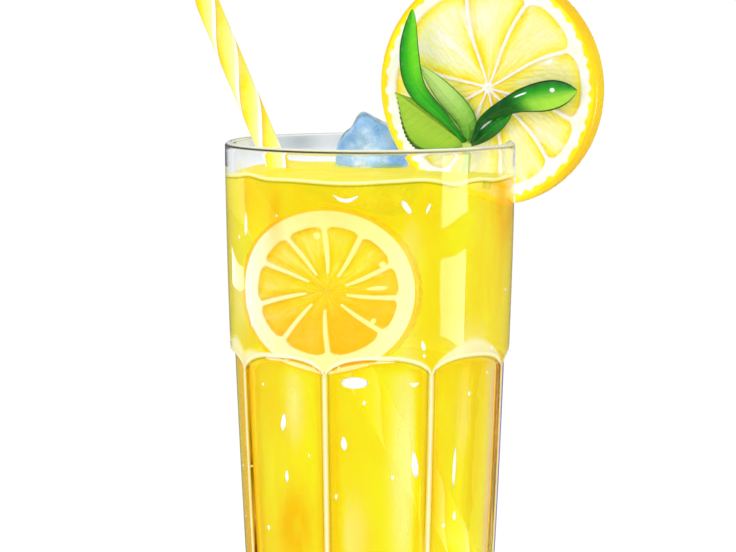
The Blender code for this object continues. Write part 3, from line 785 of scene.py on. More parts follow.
def iceMaterial():              # clear ice with frosted patches and a cold blue depth
    material, tree, shader = newMaterial("clearIce")
    place = objectPlace(tree)
    frost = noiseOf(tree, place, 130.0, 5.0, 0.6)
    edge = facingOf(tree)
    cold = rampOf(tree, noiseOf(tree, place, 95.0, 2.0),
                  [(0.38, (0.30, 0.54, 0.86, 1)), (0.48, (0.62, 0.80, 0.94, 1)),
                   (0.56, (0.88, 0.94, 0.96, 1)), (0.64, (1.0, 1.0, 1.0, 1))])
    frosted = rampOf(tree, frost, [(0.38, (0.62, 0.76, 0.86, 1)), (0.60, (1.0, 1.0, 1.0, 1))])
    tone = mixOf(tree, 1.0, cold, frosted, "MULTIPLY")
    # Painted shade: grey blue towards grazing angles
    tone = mixOf(tree, greyRamp(tree, edge, [(0.55, 0.0), (0.90, 0.75)]), tone, (0.36, 0.46, 0.50, 1))
    setInputs(tree, shader, {
        "Base Color": tone, "Roughness": greyRamp(tree, frost, [(0.45, 0.04), (0.75, 0.35)]),
        "Transmission Weight": greyRamp(tree, frost, [(0.50, 0.80), (0.66, 0.35)]), "IOR": 1.31,
        "Normal": bumpOf(tree, noiseOf(tree, place, 420.0, 3.0), 0.0004, 0.4)})
    letLightIn(tree, shader, (0.9, 0.95, 1.0, 1))
    depth = addNode(tree, "VolumeAbsorption", {"Color": (0.50, 0.75, 0.93, 1), "Density": 26.0})
    tree.links.new(depth.outputs[0], tree.nodes["Material Output"].inputs["Volume"])
    return material


makeIce(iceMaterial())


# Lemon wheels: the one slit over the rim, and the slice sunk in the drink. Spokes are the bearings of
# the membranes, which start where the middle is no longer bare; glints are the distance out, the
# bearing, and the half length outward and half width of painted highlights.

rimWheel = {
    "radius": 32.6, "half": 3.0, "round": 1.2, "centre": (33.7, 3.0, 150.7), "turn": -24.0,
    "spokes": (-17, 25.5, 65, 106, 165, 205, 244, 280, 314), "bare": 1.0, "pulpInner": 1.0,
    "pulpOuter": 27.9, "shoulder": 2.9, "sink": 0.45, "membrane": 0.30, "rindInner": 30.2,
    "scallop": 0.35, "columns": 396, "faceRows": 84, "seed": 3.0, "warmth": 0.5, "warmDrop": 0.0,
    "warmBase": 0.0, "joined": 0.0, "slitGap": 0.3, "slitLow": 108.0, "slitColumns": 160,
    "glints": ((19.6, 22.8, 1.2, 0.6),),
}
sunkenWheel = {
    "radius": 22.9, "half": 2.2, "round": 1.0, "centre": (-9.9, -16.4, 96.4), "turn": -13.0,
    "spokes": (-8, 22, 58, 89, 121, 152, 190, 228, 268, 318), "bare": 10.0, "pulpInner": 0.0,
    "pulpOuter": 18.0, "shoulder": 1.7, "sink": 0.45, "membrane": 0.38, "rindInner": 22.1,
    "scallop": 0.12, "columns": 320, "faceRows": 60, "seed": 8.0, "warmth": 0.1, "warmDrop": 0.75,
    "warmBase": 0.2, "joined": 0.6,
    "glints": ((15.4, 99, 1.1, 1.0), (15.6, 29, 1.0, 0.9), (12.4, 5, 3.0, 0.6), (13.9, 325, 0.6, 1.1)),
}


# What lies at a polar place on a wheel's face. Membranes are spokes that wander with a sine of the
# radius and widen outward; pulp is what is off them and inside an outline whose outer corners drop
# with the fifth power of the place across the segment. Juice sacs are cells 1.5 mm wide and 4.6 mm
# long. The rind's inner edge is scalloped by two sines. Warmth is a random share for each segment,
# less a sine of the angle, so that it gathers low on the wheel.
def wheelFace(w, radius, angle):
    spokes = np.radians(w["spokes"])
    turned = angle + 0.06 * np.sin(radius / 7.0 + w["seed"]) - spokes[0]
    turned = turned % (2 * math.pi)
    ends = np.append(spokes - spokes[0], 2 * math.pi)
    number = np.clip(np.searchsorted(ends, turned, side="right") - 1, 0, len(spokes) - 1)
    width = (ends[1:] - ends[:-1])[number]
    across = 2 * (turned - ends[number]) / width - 1
    membrane = w["membrane"] * (0.35 + 0.8 * radius / w["pulpOuter"]) * smoothStep(radius / w["bare"])
    offSpoke = (1 - np.abs(across)) * width / 2 * radius - membrane
    offSkin = w["pulpOuter"] - w["shoulder"] * np.abs(across) ** 5 - radius
    inner = w["pulpInner"] * (1 + 0.6 * scatterOf(number, 2.0, w["seed"]))
    joined = w["joined"] * (radius < w["bare"] / 2)
    depth = np.minimum(np.minimum(offSpoke + joined, offSkin), (radius - inner) * 0.8)
    flesh = smoothStep(depth / 0.45)
    sacWide = radius * width / 2 * across / 1.5 + number * 17.0
    sacLong = radius / 4.6 + 0.4 * np.abs(across)
    gap, tone = cellsOf(sacWide, sacLong, w["seed"])
    sac = smoothStep(gap / 0.35)
    bumps = w["scallop"] * np.sin(44 * angle + 2 * np.sin(5 * angle)) + \
        0.5 * w["scallop"] * np.sin(71 * angle + 1.0)
    rind = smoothStep((radius - w["rindInner"] - bumps) / 0.35)
    warm = w["warmth"] * scatterOf(number, 4.0, w["seed"]) - \
        w["warmDrop"] * np.sin(angle - 0.35) * smoothStep(radius / 9) + w["warmBase"]
    glint = sum(hump(radius - out, long) * hump(np.radians(turnFrom(angle, bearing)) * out, wide)
                for out, bearing, long, wide in w["glints"])
    return {"flesh": flesh, "depth": np.clip(depth / 5.0, 0, 1), "sac": sac, "tone": tone, "rind": rind,
            "warm": np.clip(warm, 0, 1), "glint": smoothStep((glint - 0.35) / 0.3)}


# A disc: rows run out over the front face, round the edge in quarter circles and back over the far
# face. Flesh sinks below the skin by its depth less the swell of its juice sacs, the skin waves as
# crossed sines, and pores step the edge's radius at random.
def makeWheel(name, w):
    angle = roundAngles(w["columns"])[None, :]
    rim = w["radius"] - w["round"]
    faceR = np.linspace(0.4, rim, w["faceRows"])
    turn = np.linspace(math.pi / 2, 0, 7)[1:]
    flat = w["half"] - w["round"]
    outward = np.concatenate([faceR, rim + w["round"] * np.cos(turn)])
    upward = np.concatenate([np.full_like(faceR, w["half"]), flat + w["round"] * np.sin(turn)])
    height = columnsOf(upward, -upward[::-1])
    radius, angle = np.broadcast_arrays(columnsOf(outward, outward[::-1]), angle)
    face = wheelFace(w, radius, angle)
    onFace = (np.abs(height) > w["half"] - 0.01) * np.ones_like(radius)
    flesh = face["flesh"]
    swell = 0.20 * face["sac"] + 0.10 * face["tone"]
    skin = 0.05 * (1 - flesh) * np.sin(radius * 2.3) * np.sin(angle * 31)
    dip = flesh * (w["sink"] + 0.25 - swell) + skin
    height = height - np.sign(height) * np.clip(dip, 0, 1) * onFace
    side = 1 - onFace
    pores = 0.10 * (scatterOf(np.round(angle * 60), np.round(height * 1.6), 4.0) - 0.5) * side
    across = np.stack([(radius + pores) * np.cos(angle), (radius + pores) * np.sin(angle)], -1)
    grid = placedOn(w, np.concatenate([across, height[..., None]], -1))
    ends = placedOn(w, np.array([[0, 0, w["half"]], [0, 0, -w["half"]]], float))
    masks = {key: face[key] for key in ("depth", "rind", "sac", "warm", "glint")}
    masks.update(flesh=flesh * onFace, side=side)
    turns = np.broadcast_to(np.linspace(0, 1, w["columns"] + 1), (len(radius), w["columns"] + 1))
    uv = np.stack([turns, np.broadcast_to(radius[:, :1] / w["radius"], turns.shape)], -1)
    return surfaceFrom(name, grid, start=ends[0], end=ends[1], uv=uv, masks=masks, sharp=75)


# Stands a wheel upright with its front towards -Y, turns it about Z and moves it
def placedOn(w, points):
    turn = math.radians(w["turn"])
    x, y, z = points[..., 0], -points[..., 2], points[..., 1]
    x, y = x * math.cos(turn) - y * math.sin(turn), x * math.sin(turn) + y * math.cos(turn)
    return np.stack([x, y, z], -1) + np.array(w["centre"])


# Cuts the slit for the tumbler's wall, a gap wider all round, out of the rim wheel: down the outside,
# up the inside and half a circle over the lip, turned about Z
def cutSlit(piece, w):
    t = tumbler
    half, gap = t["rimWall"] / 2, w["slitGap"]
    outZ = np.linspace(t["height"] - half, w["slitLow"], 8)
    turn = np.linspace(0, math.pi, 9)[1:-1]
    radius = columnsOf(outerRadius(outZ) + gap, innerRadius(outZ[::-1]) - gap,
                       t["rimRadius"] - half - (half + gap) * np.cos(turn))
    height = columnsOf(outZ, outZ[::-1], t["height"] - half + (half + gap) * np.sin(turn))
    cutter = surfaceFrom("slitCutter", turnedGrid(radius, height, roundAngles(w["slitColumns"])), ring=True)
    cut = piece.modifiers.new("Slit", "BOOLEAN")
    cut.operation = "DIFFERENCE"
    cut.solver = "EXACT"
    cut.object = cutter
    bpy.context.view_layer.update()
    graph = bpy.context.evaluated_depsgraph_get()
    mesh = bpy.data.meshes.new_from_object(piece.evaluated_get(graph))
    piece.modifiers.clear()
    piece.data = mesh
    bpy.data.objects.remove(cutter, do_unlink=True)


# Lemon flesh: pale in the middle of a segment and stronger at its edge, with light streaks that run
# outward, partly the grain of its juice sacs and partly painted highlight; white skin and pith, and
# yellow rind that is deeper on the outer edge
def lemonMaterial(name, colours):
    material, tree, shader = newMaterial(name)
    place = objectPlace(tree)

    def mottled(key, scale, detail, low, high):    # from the deep tone of a colour to its plain one
        return rampOf(tree, noiseOf(tree, place, scale, detail),
                      [(low, colours[key + "Deep"]), (high, colours[key])])

    cloud = mathOf(tree, "SUBTRACT", noiseOf(tree, place, 120.0, 3.0), 0.5)
    deep = mathOf(tree, "ADD", maskOf(tree, "depth"), times(tree, cloud, 0.7))
    flesh = rampOf(tree, deep, [(0.02, colours["fleshEdge"]), (0.13, colours["fleshNear"]),
                                (0.36, colours["flesh"]), (0.75, colours["fleshMiddle"])])
    unrolled = addNode(tree, "UVMap", uv_map="UVMap").outputs[0]
    rays = addNode(tree, "Mapping", {"Vector": unrolled, "Scale": (34, 2.6, 1)}).outputs[0]
    streak = greyRamp(tree, noiseOf(tree, rays, 1.0, 2.0, 0.45), [(0.52, 0.0), (0.68, colours["streak"])])
    flesh = mixOf(tree, streak, flesh, colours["streakLight"])
    flesh = mixOf(tree, times(tree, maskOf(tree, "warm"), colours["warmShare"]), flesh, colours["warm"])
    sacs = rampOf(tree, maskOf(tree, "sac"), [(0.0, (1, 0.97, 0.86, 1)), (0.8, (1, 1, 1, 1))])
    flesh = mixOf(tree, 0.4, flesh, sacs, "MULTIPLY")
    body = mixOf(tree, maskOf(tree, "flesh"), mottled("pith", 300.0, 4.0, 0.3, 0.6), flesh)
    body = mixOf(tree, maskOf(tree, "rind"), body, mottled("rind", 70.0, 2.0, 0.35, 0.65))
    body = mixOf(tree, maskOf(tree, "side"), body, mottled("side", 45.0, 3.0, 0.35, 0.6))
    # Painted highlights where the flesh glints
    body = mixOf(tree, maskOf(tree, "glint"), body, paint(252, 252, 250))
    wet = noiseOf(tree, place, 500.0, 3.0)
    setInputs(tree, shader, {
        "Base Color": body, "Roughness": greyRamp(tree, wet, [(0.3, 0.18), (0.8, 0.42)]),
        "Specular IOR Level": 0.35, "Subsurface Weight": 0.15,
        "Subsurface Radius": (1.0, 0.8, 0.25), "Subsurface Scale": 0.002,
        "Normal": bumpOf(tree, noiseOf(tree, place, 900.0, 4.0, 0.6), 0.0003, 0.5)})
    return material


rimLemon = {
    "fleshEdge": paint(250, 208, 0), "fleshNear": paint(252, 226, 20), "flesh": paint(244, 238, 110),
    "fleshMiddle": paint(243, 240, 178), "streak": 0.75, "streakLight": paint(246, 243, 232),
    "warm": paint(252, 226, 40), "warmShare": 0.6, "pith": paint(246, 245, 236),
    "pithDeep": paint(240, 238, 214), "rind": paint(252, 238, 10), "rindDeep": paint(250, 216, 0),
    "side": paint(254, 216, 0), "sideDeep": paint(250, 190, 0),
}
sunkenLemon = {
    "fleshEdge": paint(216, 160, 0), "fleshNear": paint(226, 190, 8), "flesh": paint(226, 205, 60),
    "fleshMiddle": paint(226, 214, 116), "streak": 0.5, "streakLight": paint(246, 240, 190),
    "warm": paint(244, 150, 0), "warmShare": 0.9, "pith": paint(250, 252, 255),
    "pithDeep": paint(240, 246, 250), "rind": paint(250, 240, 130), "rindDeep": paint(246, 226, 90),
    "side": paint(232, 196, 20), "sideDeep": paint(224, 178, 10),
}

wheelPiece = makeWheel("lemonWheel", rimWheel)
cutSlit(wheelPiece, rimWheel)
dress(wheelPiece, lemonMaterial("rimLemonFlesh", rimLemon), "lemon_wheel")
slicePiece = makeWheel("sunkenSlice", sunkenWheel)
dress(slicePiece, lemonMaterial("sunkenLemonFlesh", sunkenLemon))


# Mint sprig: a stem and five leaves that meet at its top, each leaf a thin blade about its midrib.
# Widest is the share of the length where a leaf is widest, and slim narrows its ends. Dark is from
# where to where the foot's painted shade fades; a shine is a painted highlight, with its place along
# and across, and its half sizes. Light towards the tip is painted light.

sprig = {
    "stem": ((25.8, -3.2, 123.6), (26.5, -2.7, 129.6), (27.0, -2.0, 135.4)), "stemRadius": 1.0,
    "jointRadius": 1.5, "jointLong": 0.10, "stemRows": 60, "stemColumns": 28, "flute": 0.10,
    "neck": 0.7, "tip": 0.2, "cup": 0.22, "wave": 0.4, "thick": 0.6, "rows": 130, "acrossSteps": 36,
    "teethCount": 24, "veinCount": 11, "veinSlope": 0.16, "veinGap": 30, "veinWide": 0.35,
    "ribWide": 0.32, "ribSink": 0.14, "ribStand": 0.22, "puff": 0.10,
}
plainLeaf = {"teeth": 0.0, "veins": 0.0, "lightFrom": 0.5, "lightSide": 0, "shine": ()}
leaves = {
    "longLeaf": {
        "midrib": ((27.0, -2.0, 134.9), (20.4, -3.0, 142.4), (12.8, -2.0, 150.6), (10.8, -0.6, 160.6),
                   (11.7, 1.0, 172.3)),
        "left": 2.5, "right": 2.5, "widest": 0.66, "slim": 2.5,
        "edge": paint(8, 66, 14), "deep": paint(4, 112, 10), "main": paint(40, 168, 4),
        "light": paint(104, 214, 10), "dark": (0.02, 0.44), "lightShare": 0.95,
        "lightSide": 1},
    "backLeaf": {
        "midrib": ((27.3, -1.4, 135.2), (26.2, -0.2, 142.0), (20.0, 0.6, 149.6), (13.4, 1.0, 157.2)),
        "left": 2.5, "right": 2.8, "widest": 0.50, "slim": 2.0, "veins": 0.12,
        "edge": paint(60, 130, 30), "deep": paint(96, 172, 34), "main": paint(152, 204, 78),
        "light": paint(196, 226, 130), "dark": (0.12, 0.42), "lightShare": 0.7},
    "broadLeaf": {
        "midrib": ((26.8, -1.6, 135.0), (16.8, -0.3, 142.2), (6.9, 0.6, 149.4)),
        "left": 8.8, "right": 2.6, "widest": 0.47, "slim": 2.8, "teeth": 0.5, "veins": 0.10,
        "edge": paint(20, 70, 14), "deep": paint(108, 162, 24), "main": paint(148, 188, 38),
        "light": paint(162, 200, 60), "dark": (0.0, 0.12), "lightShare": 0.3},
    "rightLeaf": {
        "midrib": ((28.0, -2.4, 134.9), (31.0, -4.4, 142.0), (40.0, -8.0, 147.0), (48.6, -11.4, 149.1),
                   (56.7, -14.0, 150.8)),
        "left": 3.9, "right": 3.9, "widest": 0.74, "slim": 3.6,
        "edge": paint(2, 52, 12), "deep": paint(2, 84, 16), "main": paint(22, 158, 14),
        "light": paint(166, 222, 60), "dark": (0.42, 0.60), "lightShare": 0.95,
        "lightFrom": 0.55, "lightSide": 1,
        "shine": ((0.80, -0.33, 0.022, 0.16), (0.55, -0.52, 0.055, 0.07))},
    "smallLeaf": {
        "midrib": ((28.2, -1.9, 135.2), (33.4, -3.6, 139.8), (39.0, -5.7, 143.8)),
        "left": 1.9, "right": 1.9, "widest": 0.50, "slim": 2.0,
        "edge": paint(2, 56, 14), "deep": paint(4, 86, 18), "main": paint(10, 116, 20),
        "light": paint(30, 146, 24), "dark": (0.2, 0.5), "lightShare": 0.6,
        "lightFrom": 0.6, "shine": ((0.45, -0.72, 0.16, 0.13),)},
}


def frameAlong(places, shares): # place, direction, sideways and facing at each share of a path
    place = smoothPath(places, shares)
    ahead = unitOf(smoothPath(places, shares + 0.01) - smoothPath(places, shares - 0.01))
    side = unitOf(np.cross((0.0, 1.0, 0.0), ahead))
    return place, ahead, side, np.cross(ahead, side)


# A leaf: the outline rises and falls as a power of the share along the midrib, with a saw's teeth at
# its left edge; the blade cups with the square of the place across and waves as a sine along it, and
# thins outward as a circle does. Side veins run forward from the midrib and sink as humps on the
# face, and the blade between them swells. Columns run over the face and back under.
def makeLeaf(name, leaf, material):
    s = sprig
    shares = np.linspace(0.0, 1.0, s["rows"])
    place, ahead, side, facing = frameAlong(leaf["midrib"], shares)
    t = shares[:, None]
    rise = (t / leaf["widest"]) ** leaf["widest"]
    fall = ((1 - t) / (1 - leaf["widest"])) ** (1 - leaf["widest"])
    spread = (rise * fall) ** leaf["slim"]
    over = np.linspace(-1, 1, s["acrossSteps"])
    across = np.concatenate([over, over[-2:0:-1]])[None, :]
    face = np.concatenate([np.ones(len(over)), -np.ones(len(over) - 2)])[None, :]
    reach = np.where(across < 0, leaf["left"], leaf["right"])
    half = s["neck"] + (s["tip"] - s["neck"]) * t + spread * reach
    saw = (t * s["teethCount"]) % 1.0
    half = half + leaf["teeth"] * (saw - 0.5) * (across < 0) * np.abs(across) ** 8 * smoothStep(t / 0.1)
    lift = s["cup"] * half * across ** 2 + s["wave"] * np.sin(9 * t + 2 * across) * np.abs(across) * (1 - t)
    offRib = np.abs(across) * half
    phase = t * s["veinCount"] - offRib * s["veinSlope"]
    offVein = np.abs(phase - np.round(phase)) / s["veinCount"] * s["veinGap"]
    vein = hump(offVein, s["veinWide"]) * smoothStep(offRib / 0.8) * smoothStep((1 - np.abs(across)) / 0.15)
    rib = hump(offRib, s["ribWide"])
    blade = s["thick"] / 2 * (0.25 + 0.75 * np.sqrt(np.clip(1 - across ** 2, 0, 1)))
    swell = s["puff"] * (1 - vein) * smoothStep((1 - np.abs(across)) / 0.3) - s["ribSink"] * rib
    height = lift + face * blade + swell - (face < 0) * (s["ribStand"] * rib + s["puff"] * vein)
    grid = place[:, None] + side[:, None] * (across * half)[..., None] + \
        facing[:, None] * height[..., None]
    # Painted highlights: white spots on the face
    shine = sum((hump(t - along, long) * hump(across - over, wide) * (face < 0)
                 for along, over, long, wide in leaf["shine"]), np.zeros_like(half))
    masks = {"across": np.abs(across) * np.ones_like(t), "along": t * np.ones_like(across),
             "vein": np.maximum(vein, rib), "shine": smoothStep((shine - 0.35) / 0.3),
             "rightSide": smoothStep((across + 0.55) / 1.0) * np.ones_like(t)}
    piece = surfaceFrom(name, grid, start=place[0] - ahead[0] * 0.05, end=place[-1] + ahead[-1] * 0.05,
                        masks=masks, sharp=80)
    return dress(piece, material, "mint_sprig")


# Darker towards the foot as painted shade, lighter towards the tip on one side or both as painted
# light, with a dark edge, faint veins, white painted highlights at its shines and a soft waxy gloss
def leafMaterial(name, leaf):
    material, tree, shader = newMaterial(name + "Green")
    place = objectPlace(tree)
    cloud = noiseOf(tree, place, 160.0, 3.0)
    off = times(tree, mathOf(tree, "SUBTRACT", cloud, 0.5), 0.5)
    along = mathOf(tree, "ADD", maskOf(tree, "along"), times(tree, off, 0.4))
    darkFrom, darkTo = leaf["dark"]
    # Painted shade towards the foot
    foot = greyRamp(tree, along, [(darkFrom, 1.0), (darkTo, 0.0)])
    outward = greyRamp(tree, mathOf(tree, "ADD", maskOf(tree, "across"), off), [(0.45, 0.0), (0.95, 0.8)])
    # Painted light towards the tip
    tip = greyRamp(tree, along, [(leaf["lightFrom"] - 0.1, 0.0),
                                 (leaf["lightFrom"] + 0.15, leaf["lightShare"])])
    if leaf["lightSide"]:
        tip = times(tree, tip, maskOf(tree, "rightSide"))
    tone = mixOf(tree, outward, leaf["main"], leaf["deep"])
    tone = mixOf(tree, tip, tone, leaf["light"])
    tone = mixOf(tree, foot, tone, leaf["deep"])
    tone = mixOf(tree, times(tree, maskOf(tree, "vein"), leaf["veins"]), tone, leaf["light"])
    border = greyRamp(tree, maskOf(tree, "across"), [(0.86, 0.0), (0.93, 0.95)])
    tone = mixOf(tree, border, tone, leaf["edge"])
    # Painted highlights at the shines
    tone = mixOf(tree, maskOf(tree, "shine"), tone, paint(250, 252, 250))
    setInputs(tree, shader, {
        "Base Color": tone, "Roughness": greyRamp(tree, cloud, [(0.3, 0.28), (0.7, 0.42)]),
        "Specular IOR Level": 0.3, "Coat Weight": 0.15, "Coat Roughness": 0.12, "Subsurface Weight": 0.05,
        "Subsurface Radius": (0.4, 1.0, 0.2), "Subsurface Scale": 0.001,
        "Normal": bumpOf(tree, noiseOf(tree, place, 1400.0, 3.0), 0.0001, 0.5)})
    return material


# A rod carried along the stem's path, fluted by a cosine round it, with a hump of swelling at the top
def makeStem(material):
    s = sprig
    shares = np.linspace(0.0, 1.0, s["stemRows"])
    place, ahead, side, facing = frameAlong(s["stem"], shares)
    angle = roundAngles(s["stemColumns"])
    swell = 1 + (s["jointRadius"] / s["stemRadius"] - 1) * hump(1 - shares, s["jointLong"])
    radius = s["stemRadius"] * swell[:, None] * (1 + s["flute"] * np.cos(4 * angle))
    around = side[:, None] * np.cos(angle)[None, :, None] + facing[:, None] * np.sin(angle)[None, :, None]
    grid = place[:, None] + around * radius[..., None]
    masks = {"across": np.full(grid.shape[:2], 0.3), "along": np.full(grid.shape[:2], 0.3)}
    piece = surfaceFrom("mintStem", grid, start=place[0] - ahead[0] * 0.3, end=place[-1] + ahead[-1] * 0.9,
                        masks=masks, sharp=60)
    return dress(piece, material, "mint_sprig")


for leafName, leafValues in leaves.items():
    leaf = {**plainLeaf, **leafValues}
    makeLeaf(leafName, leaf, leafMaterial(leafName, leaf))
stemTones = {"edge": paint(70, 120, 30), "deep": paint(150, 176, 70), "main": paint(196, 206, 104),
             "light": paint(216, 222, 140)}
makeStem(leafMaterial("mintStem", {**plainLeaf, **leaves["backLeaf"], **stemTones}))


# Dew on the outer wall, whitened all over as a painted highlight; the placed drops are painted
# highlights shaped as beads. Placed drops are bearing, height, half width, half height, how pointed
# the top is, how far the ends bend up and how far the top leans; the others are scattered by a
# golden turn.

dewHighlights = {
    "placed": ((260.5, 122.2, 3.4, 0.55, 0.0, 1.5, 0.0), (284.4, 120.4, 0.9, 1.9, 0.0, 0.0, -1.1),
               (293.5, 119.9, 0.45, 1.4, 0.0, 0.0, 0.6), (211.0, 114.5, 0.7, 3.4, 1.0, 0.0, 0.3),
               (213.0, 93.5, 0.6, 1.6, 0.2, 0.0, 0.0), (213.5, 88.5, 0.5, 2.4, 0.2, 0.0, 0.0),
               (292.0, 82.4, 0.6, 1.4, 0.8, 0.0, -0.3), (263.5, 72.3, 3.9, 1.6, 0.0, 0.0, 0.0),
               (258.7, 55.7, 0.9, 2.0, 1.0, 0.0, -0.2), (289.8, 49.8, 1.1, 3.8, 1.0, 0.0, -0.5),
               (229.5, 60.8, 1.0, 2.4, 0.4, 0.0, 0.4), (230.5, 46.0, 0.6, 1.7, 0.8, 0.0, 0.0),
               (310.0, 48.5, 0.6, 5.6, 0.6, 0.0, 0.2), (311.0, 35.0, 0.6, 1.4, 0.5, 0.0, 0.0),
               (289.0, 71.6, 1.4, 0.5, 0.0, 0.6, 0.0)),
    "scattered": 34, "firstBearing": 380.0, "goldenTurn": 137.5, "spread": 250.0,
    "small": 0.25, "large": 0.55, "lowest": 12.0, "highest": 118.0,
    "pointed": 0.3, "taller": 1.25, "lift": 0.42, "narrowing": 0.45, "sink": 0.04, "rooted": 0.35,
    "wallRadius": 38.0, "rings": 5, "columns": 16, "seed": 6.0,
}


# A dome over an oval that narrows towards its top, leans with the height and bends up with the square
# of the place across; it thins outward as a circle does, and closes inside the wall
def makeDewHighlights(material):
    d = dewHighlights
    number = np.arange(d["scattered"])
    size = d["small"] + (d["large"] - d["small"]) * scatterOf(number, 1.0, d["seed"]) ** 2
    spot = d["lowest"] + (d["highest"] - d["lowest"]) * scatterOf(number, 2.0, d["seed"])
    none = np.zeros(len(number))
    turned = d["firstBearing"] - number * d["goldenTurn"] % d["spread"]
    scattered = np.stack([turned, spot, size, size * d["taller"], none + d["pointed"], none, none], -1)
    drops = np.concatenate([np.array(d["placed"], float), scattered])
    bearing, middle, wide, tall, point, bend, lean = (drops[:, k, None, None] for k in range(7))
    share = np.linspace(1, 0.2, d["rings"])[None, :, None]
    about = roundAngles(d["columns"])[None, None, :]
    up = share * np.sin(about)
    over = wide * share * np.cos(about) * (1 - d["narrowing"] * point * np.clip(up, 0, 1) ** 0.7)
    bearing = np.radians(bearing)
    angle = bearing + (over + lean * up) / d["wallRadius"]
    height = middle + tall * up + bend * (over / wide) ** 2
    lift = d["lift"] * np.minimum(wide, 1.0) * np.sqrt(1 - (share * 0.985) ** 2)
    radius = wallRadius(angle, acrossPanel(angle), height) + lift - d["sink"]
    dome = turnedGrid(radius, height, angle).reshape(len(drops), -1, 3)
    wall = wallRadius(bearing, acrossPanel(bearing), middle)
    top = wall + 1.02 * lift[:, -1:, :1] - d["sink"]
    poles = turnedGrid(np.concatenate([top, wall - d["rooted"]], 2), middle, bearing)
    poles = poles.reshape(len(drops), -1, 3)
    here = np.arange(d["columns"])
    after = (here + 1) % d["columns"]
    ring = np.arange(d["rings"] - 1)[:, None] * d["columns"]
    inner = ring + d["columns"]                             # rings of numbers, the next one farther in
    outerLow = np.stack([ring + here, ring + after, inner + after], -1).reshape(-1, 3)
    outerHigh = np.stack([ring + here, inner + after, inner + here], -1).reshape(-1, 3)
    last = (d["rings"] - 1) * d["columns"]
    tip = d["rings"] * d["columns"]
    cap = np.stack([last + here, last + after, np.full(len(here), tip)], -1)
    back = np.stack([after, here, np.full(len(here), tip + 1)], -1)
    faces = np.concatenate([outerLow, outerHigh, cap, back])
    piece = surfacesFrom("wallDewHighlights", np.concatenate([dome, poles], 1), faces)
    return dress(piece, material, "glass")


# Painted highlight: the beads are whitish all over, half clear water
def dewHighlightMaterial():              # water beads, whitish where they gather the light
    material, tree, shader = newMaterial("whiteDewHighlights")
    cloud = noiseOf(tree, objectPlace(tree), 300.0, 2.0)
    setInputs(tree, shader, {
        "Base Color": rampOf(tree, cloud, [(0.3, (0.98, 0.98, 0.92, 1)), (0.7, (1, 1, 1, 1))]),
        "Roughness": greyRamp(tree, cloud, [(0.3, 0.02), (0.7, 0.08)]), "Transmission Weight": 0.45,
        "IOR": 1.33})
    letLightIn(tree, shader, (0.98, 0.98, 0.98, 1))
    return material


makeDewHighlights(dewHighlightMaterial())


# Studio: a white floor under an even white sky, two tall window panes on the right with slanting ends
# and a small one on the left. Panes run from near to far; low and high are their ends' heights.

studio = {
    "sky": 1.12, "mirrored": (0.17, 0.175, 0.18, 1.0), "floorHalf": 30.0,
    "floor": (0.95, 0.95, 0.945, 1.0), "floorGrain": 0.985,
    "paneUpper": {"near": (0.331, -0.219), "far": (0.363, -0.063), "low": (0.0732, 0.0832),
                  "high": (0.112, 0.112), "radiance": 21.0},
    "paneLower": {"near": (0.331, -0.219), "far": (0.363, -0.063), "low": (0.0328, 0.0328),
                  "high": (0.0632, 0.0712), "radiance": 21.0},
    "paneLeft": {"near": (-0.32, 0.17), "far": (-0.22, 0.30), "low": (0.061, 0.064),
                 "high": (0.067, 0.076), "radiance": 4.5},
    "keyBox": {"place": (-0.9, -1.3, 1.3), "size": (0.8, 0.8), "radiance": 2.5},
}


# A glowing pane that only mirrors see, given by its two upright ends
def makePane(name, values):
    near, far = values["near"], values["far"]
    corners = [(*near, values["low"][0]), (*far, values["low"][1]), (*far, values["high"][1]),
               (*near, values["high"][0])]
    mesh = bpy.data.meshes.new(name)
    mesh.from_pydata(corners, [], [(0, 1, 2, 3)])
    pane = addObject(name, mesh)
    material, tree = newMaterial(name + "Glow")[:2]
    sheen = noiseOf(tree, objectPlace(tree), 6.0, 1.0)
    glow = addNode(tree, "Emission", {"Strength": values["radiance"],
                                      "Color": greyRamp(tree, sheen, [(0.3, 0.92), (0.7, 1.0)])})
    tree.links.new(glow.outputs[0], tree.nodes["Material Output"].inputs["Surface"])
    mesh.materials.append(material)
    pane.visible_camera = False
    pane.visible_transmission = False
    pane.visible_diffuse = False
    pane.visible_shadow = False


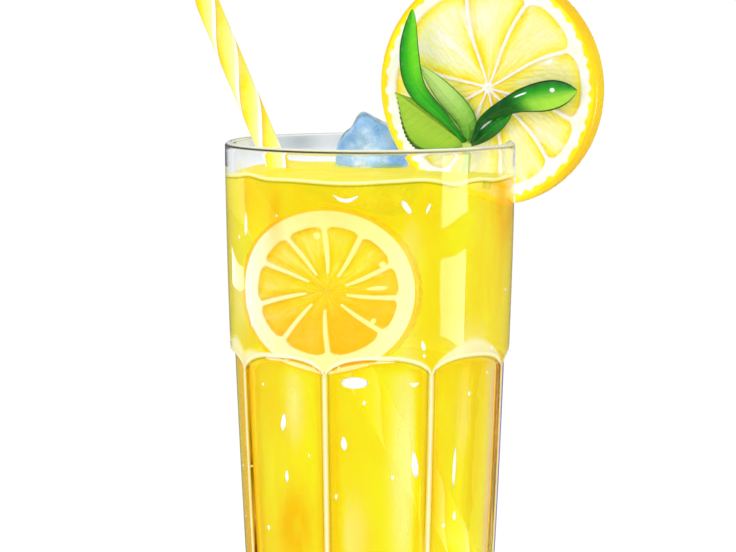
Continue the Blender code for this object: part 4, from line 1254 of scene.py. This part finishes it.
# A square of light, aimed at a place; its power is its radiance by pi by its area
def makeLight(name, values, aim):
    light = bpy.data.lights.new(name, "AREA")
    light.shape = "RECTANGLE"
    light.size, light.size_y = values["size"]
    light.energy = values["radiance"] * math.pi * light.size * light.size_y
    holder = addObject(name, light)
    holder.location = values["place"]
    holder.rotation_euler = (Vector(aim) - holder.location).to_track_quat("-Z", "Y").to_euler()
    holder.visible_camera = False


# 1 for what is seen mirrored in a gloss, as if grey flags stood round the glass
def mirroredShare(tree):
    path = addNode(tree, "LightPath")
    mirrored, soft = path.outputs["Is Reflection Ray"], path.outputs["Is Diffuse Ray"]
    return mathOf(tree, "SUBTRACT", mirrored, soft, True)


# Sky and floor are white to the eye and grey in a mirror; the render keeps enough bounces for light
# to pass four walls of glass and drink
def makeStudio():
    world = bpy.data.worlds.new("studioSky")
    world.use_nodes = True
    sky = world.node_tree
    setInputs(sky, sky.nodes["Background"], {
        "Color": mixOf(sky, mirroredShare(sky), (1, 1, 1, 1), studio["mirrored"]),
        "Strength": studio["sky"]})
    bpy.context.scene.world = world
    half = studio["floorHalf"]
    corners = [(-half, -half, 0), (half, -half, 0), (half, half, 0), (-half, half, 0)]
    mesh = bpy.data.meshes.new("floor")
    mesh.from_pydata(corners, [], [(0, 1, 2, 3)])
    floor = addObject("floor", mesh)
    material, tree, shader = newMaterial("paleFloor")
    grain = noiseOf(tree, objectPlace(tree), 30.0, 3.0)
    dim = tuple(studio["floorGrain"] * value for value in studio["floor"][:3]) + (1.0,)
    pale = rampOf(tree, grain, [(0.3, dim), (0.7, studio["floor"])])
    setInputs(tree, shader, {"Base Color": mixOf(tree, mirroredShare(tree), pale, studio["mirrored"]),
                             "Roughness": 0.8, "Specular IOR Level": 0.1})
    mesh.materials.append(material)
    for name in ("paneUpper", "paneLower", "paneLeft"):
        makePane(name, studio[name])
    makeLight("keyBox", studio["keyBox"], (0, 0, 0.1))
    scene = bpy.context.scene
    scene.view_settings.view_transform = "Standard"
    scene.cycles.use_denoising = True
    scene.cycles.max_bounces = 24
    scene.cycles.transmission_bounces = 20
    scene.cycles.glossy_bounces = 6
    scene.cycles.diffuse_bounces = 5
    scene.cycles.transparent_max_bounces = 24


makeStudio()
print("studio lit")
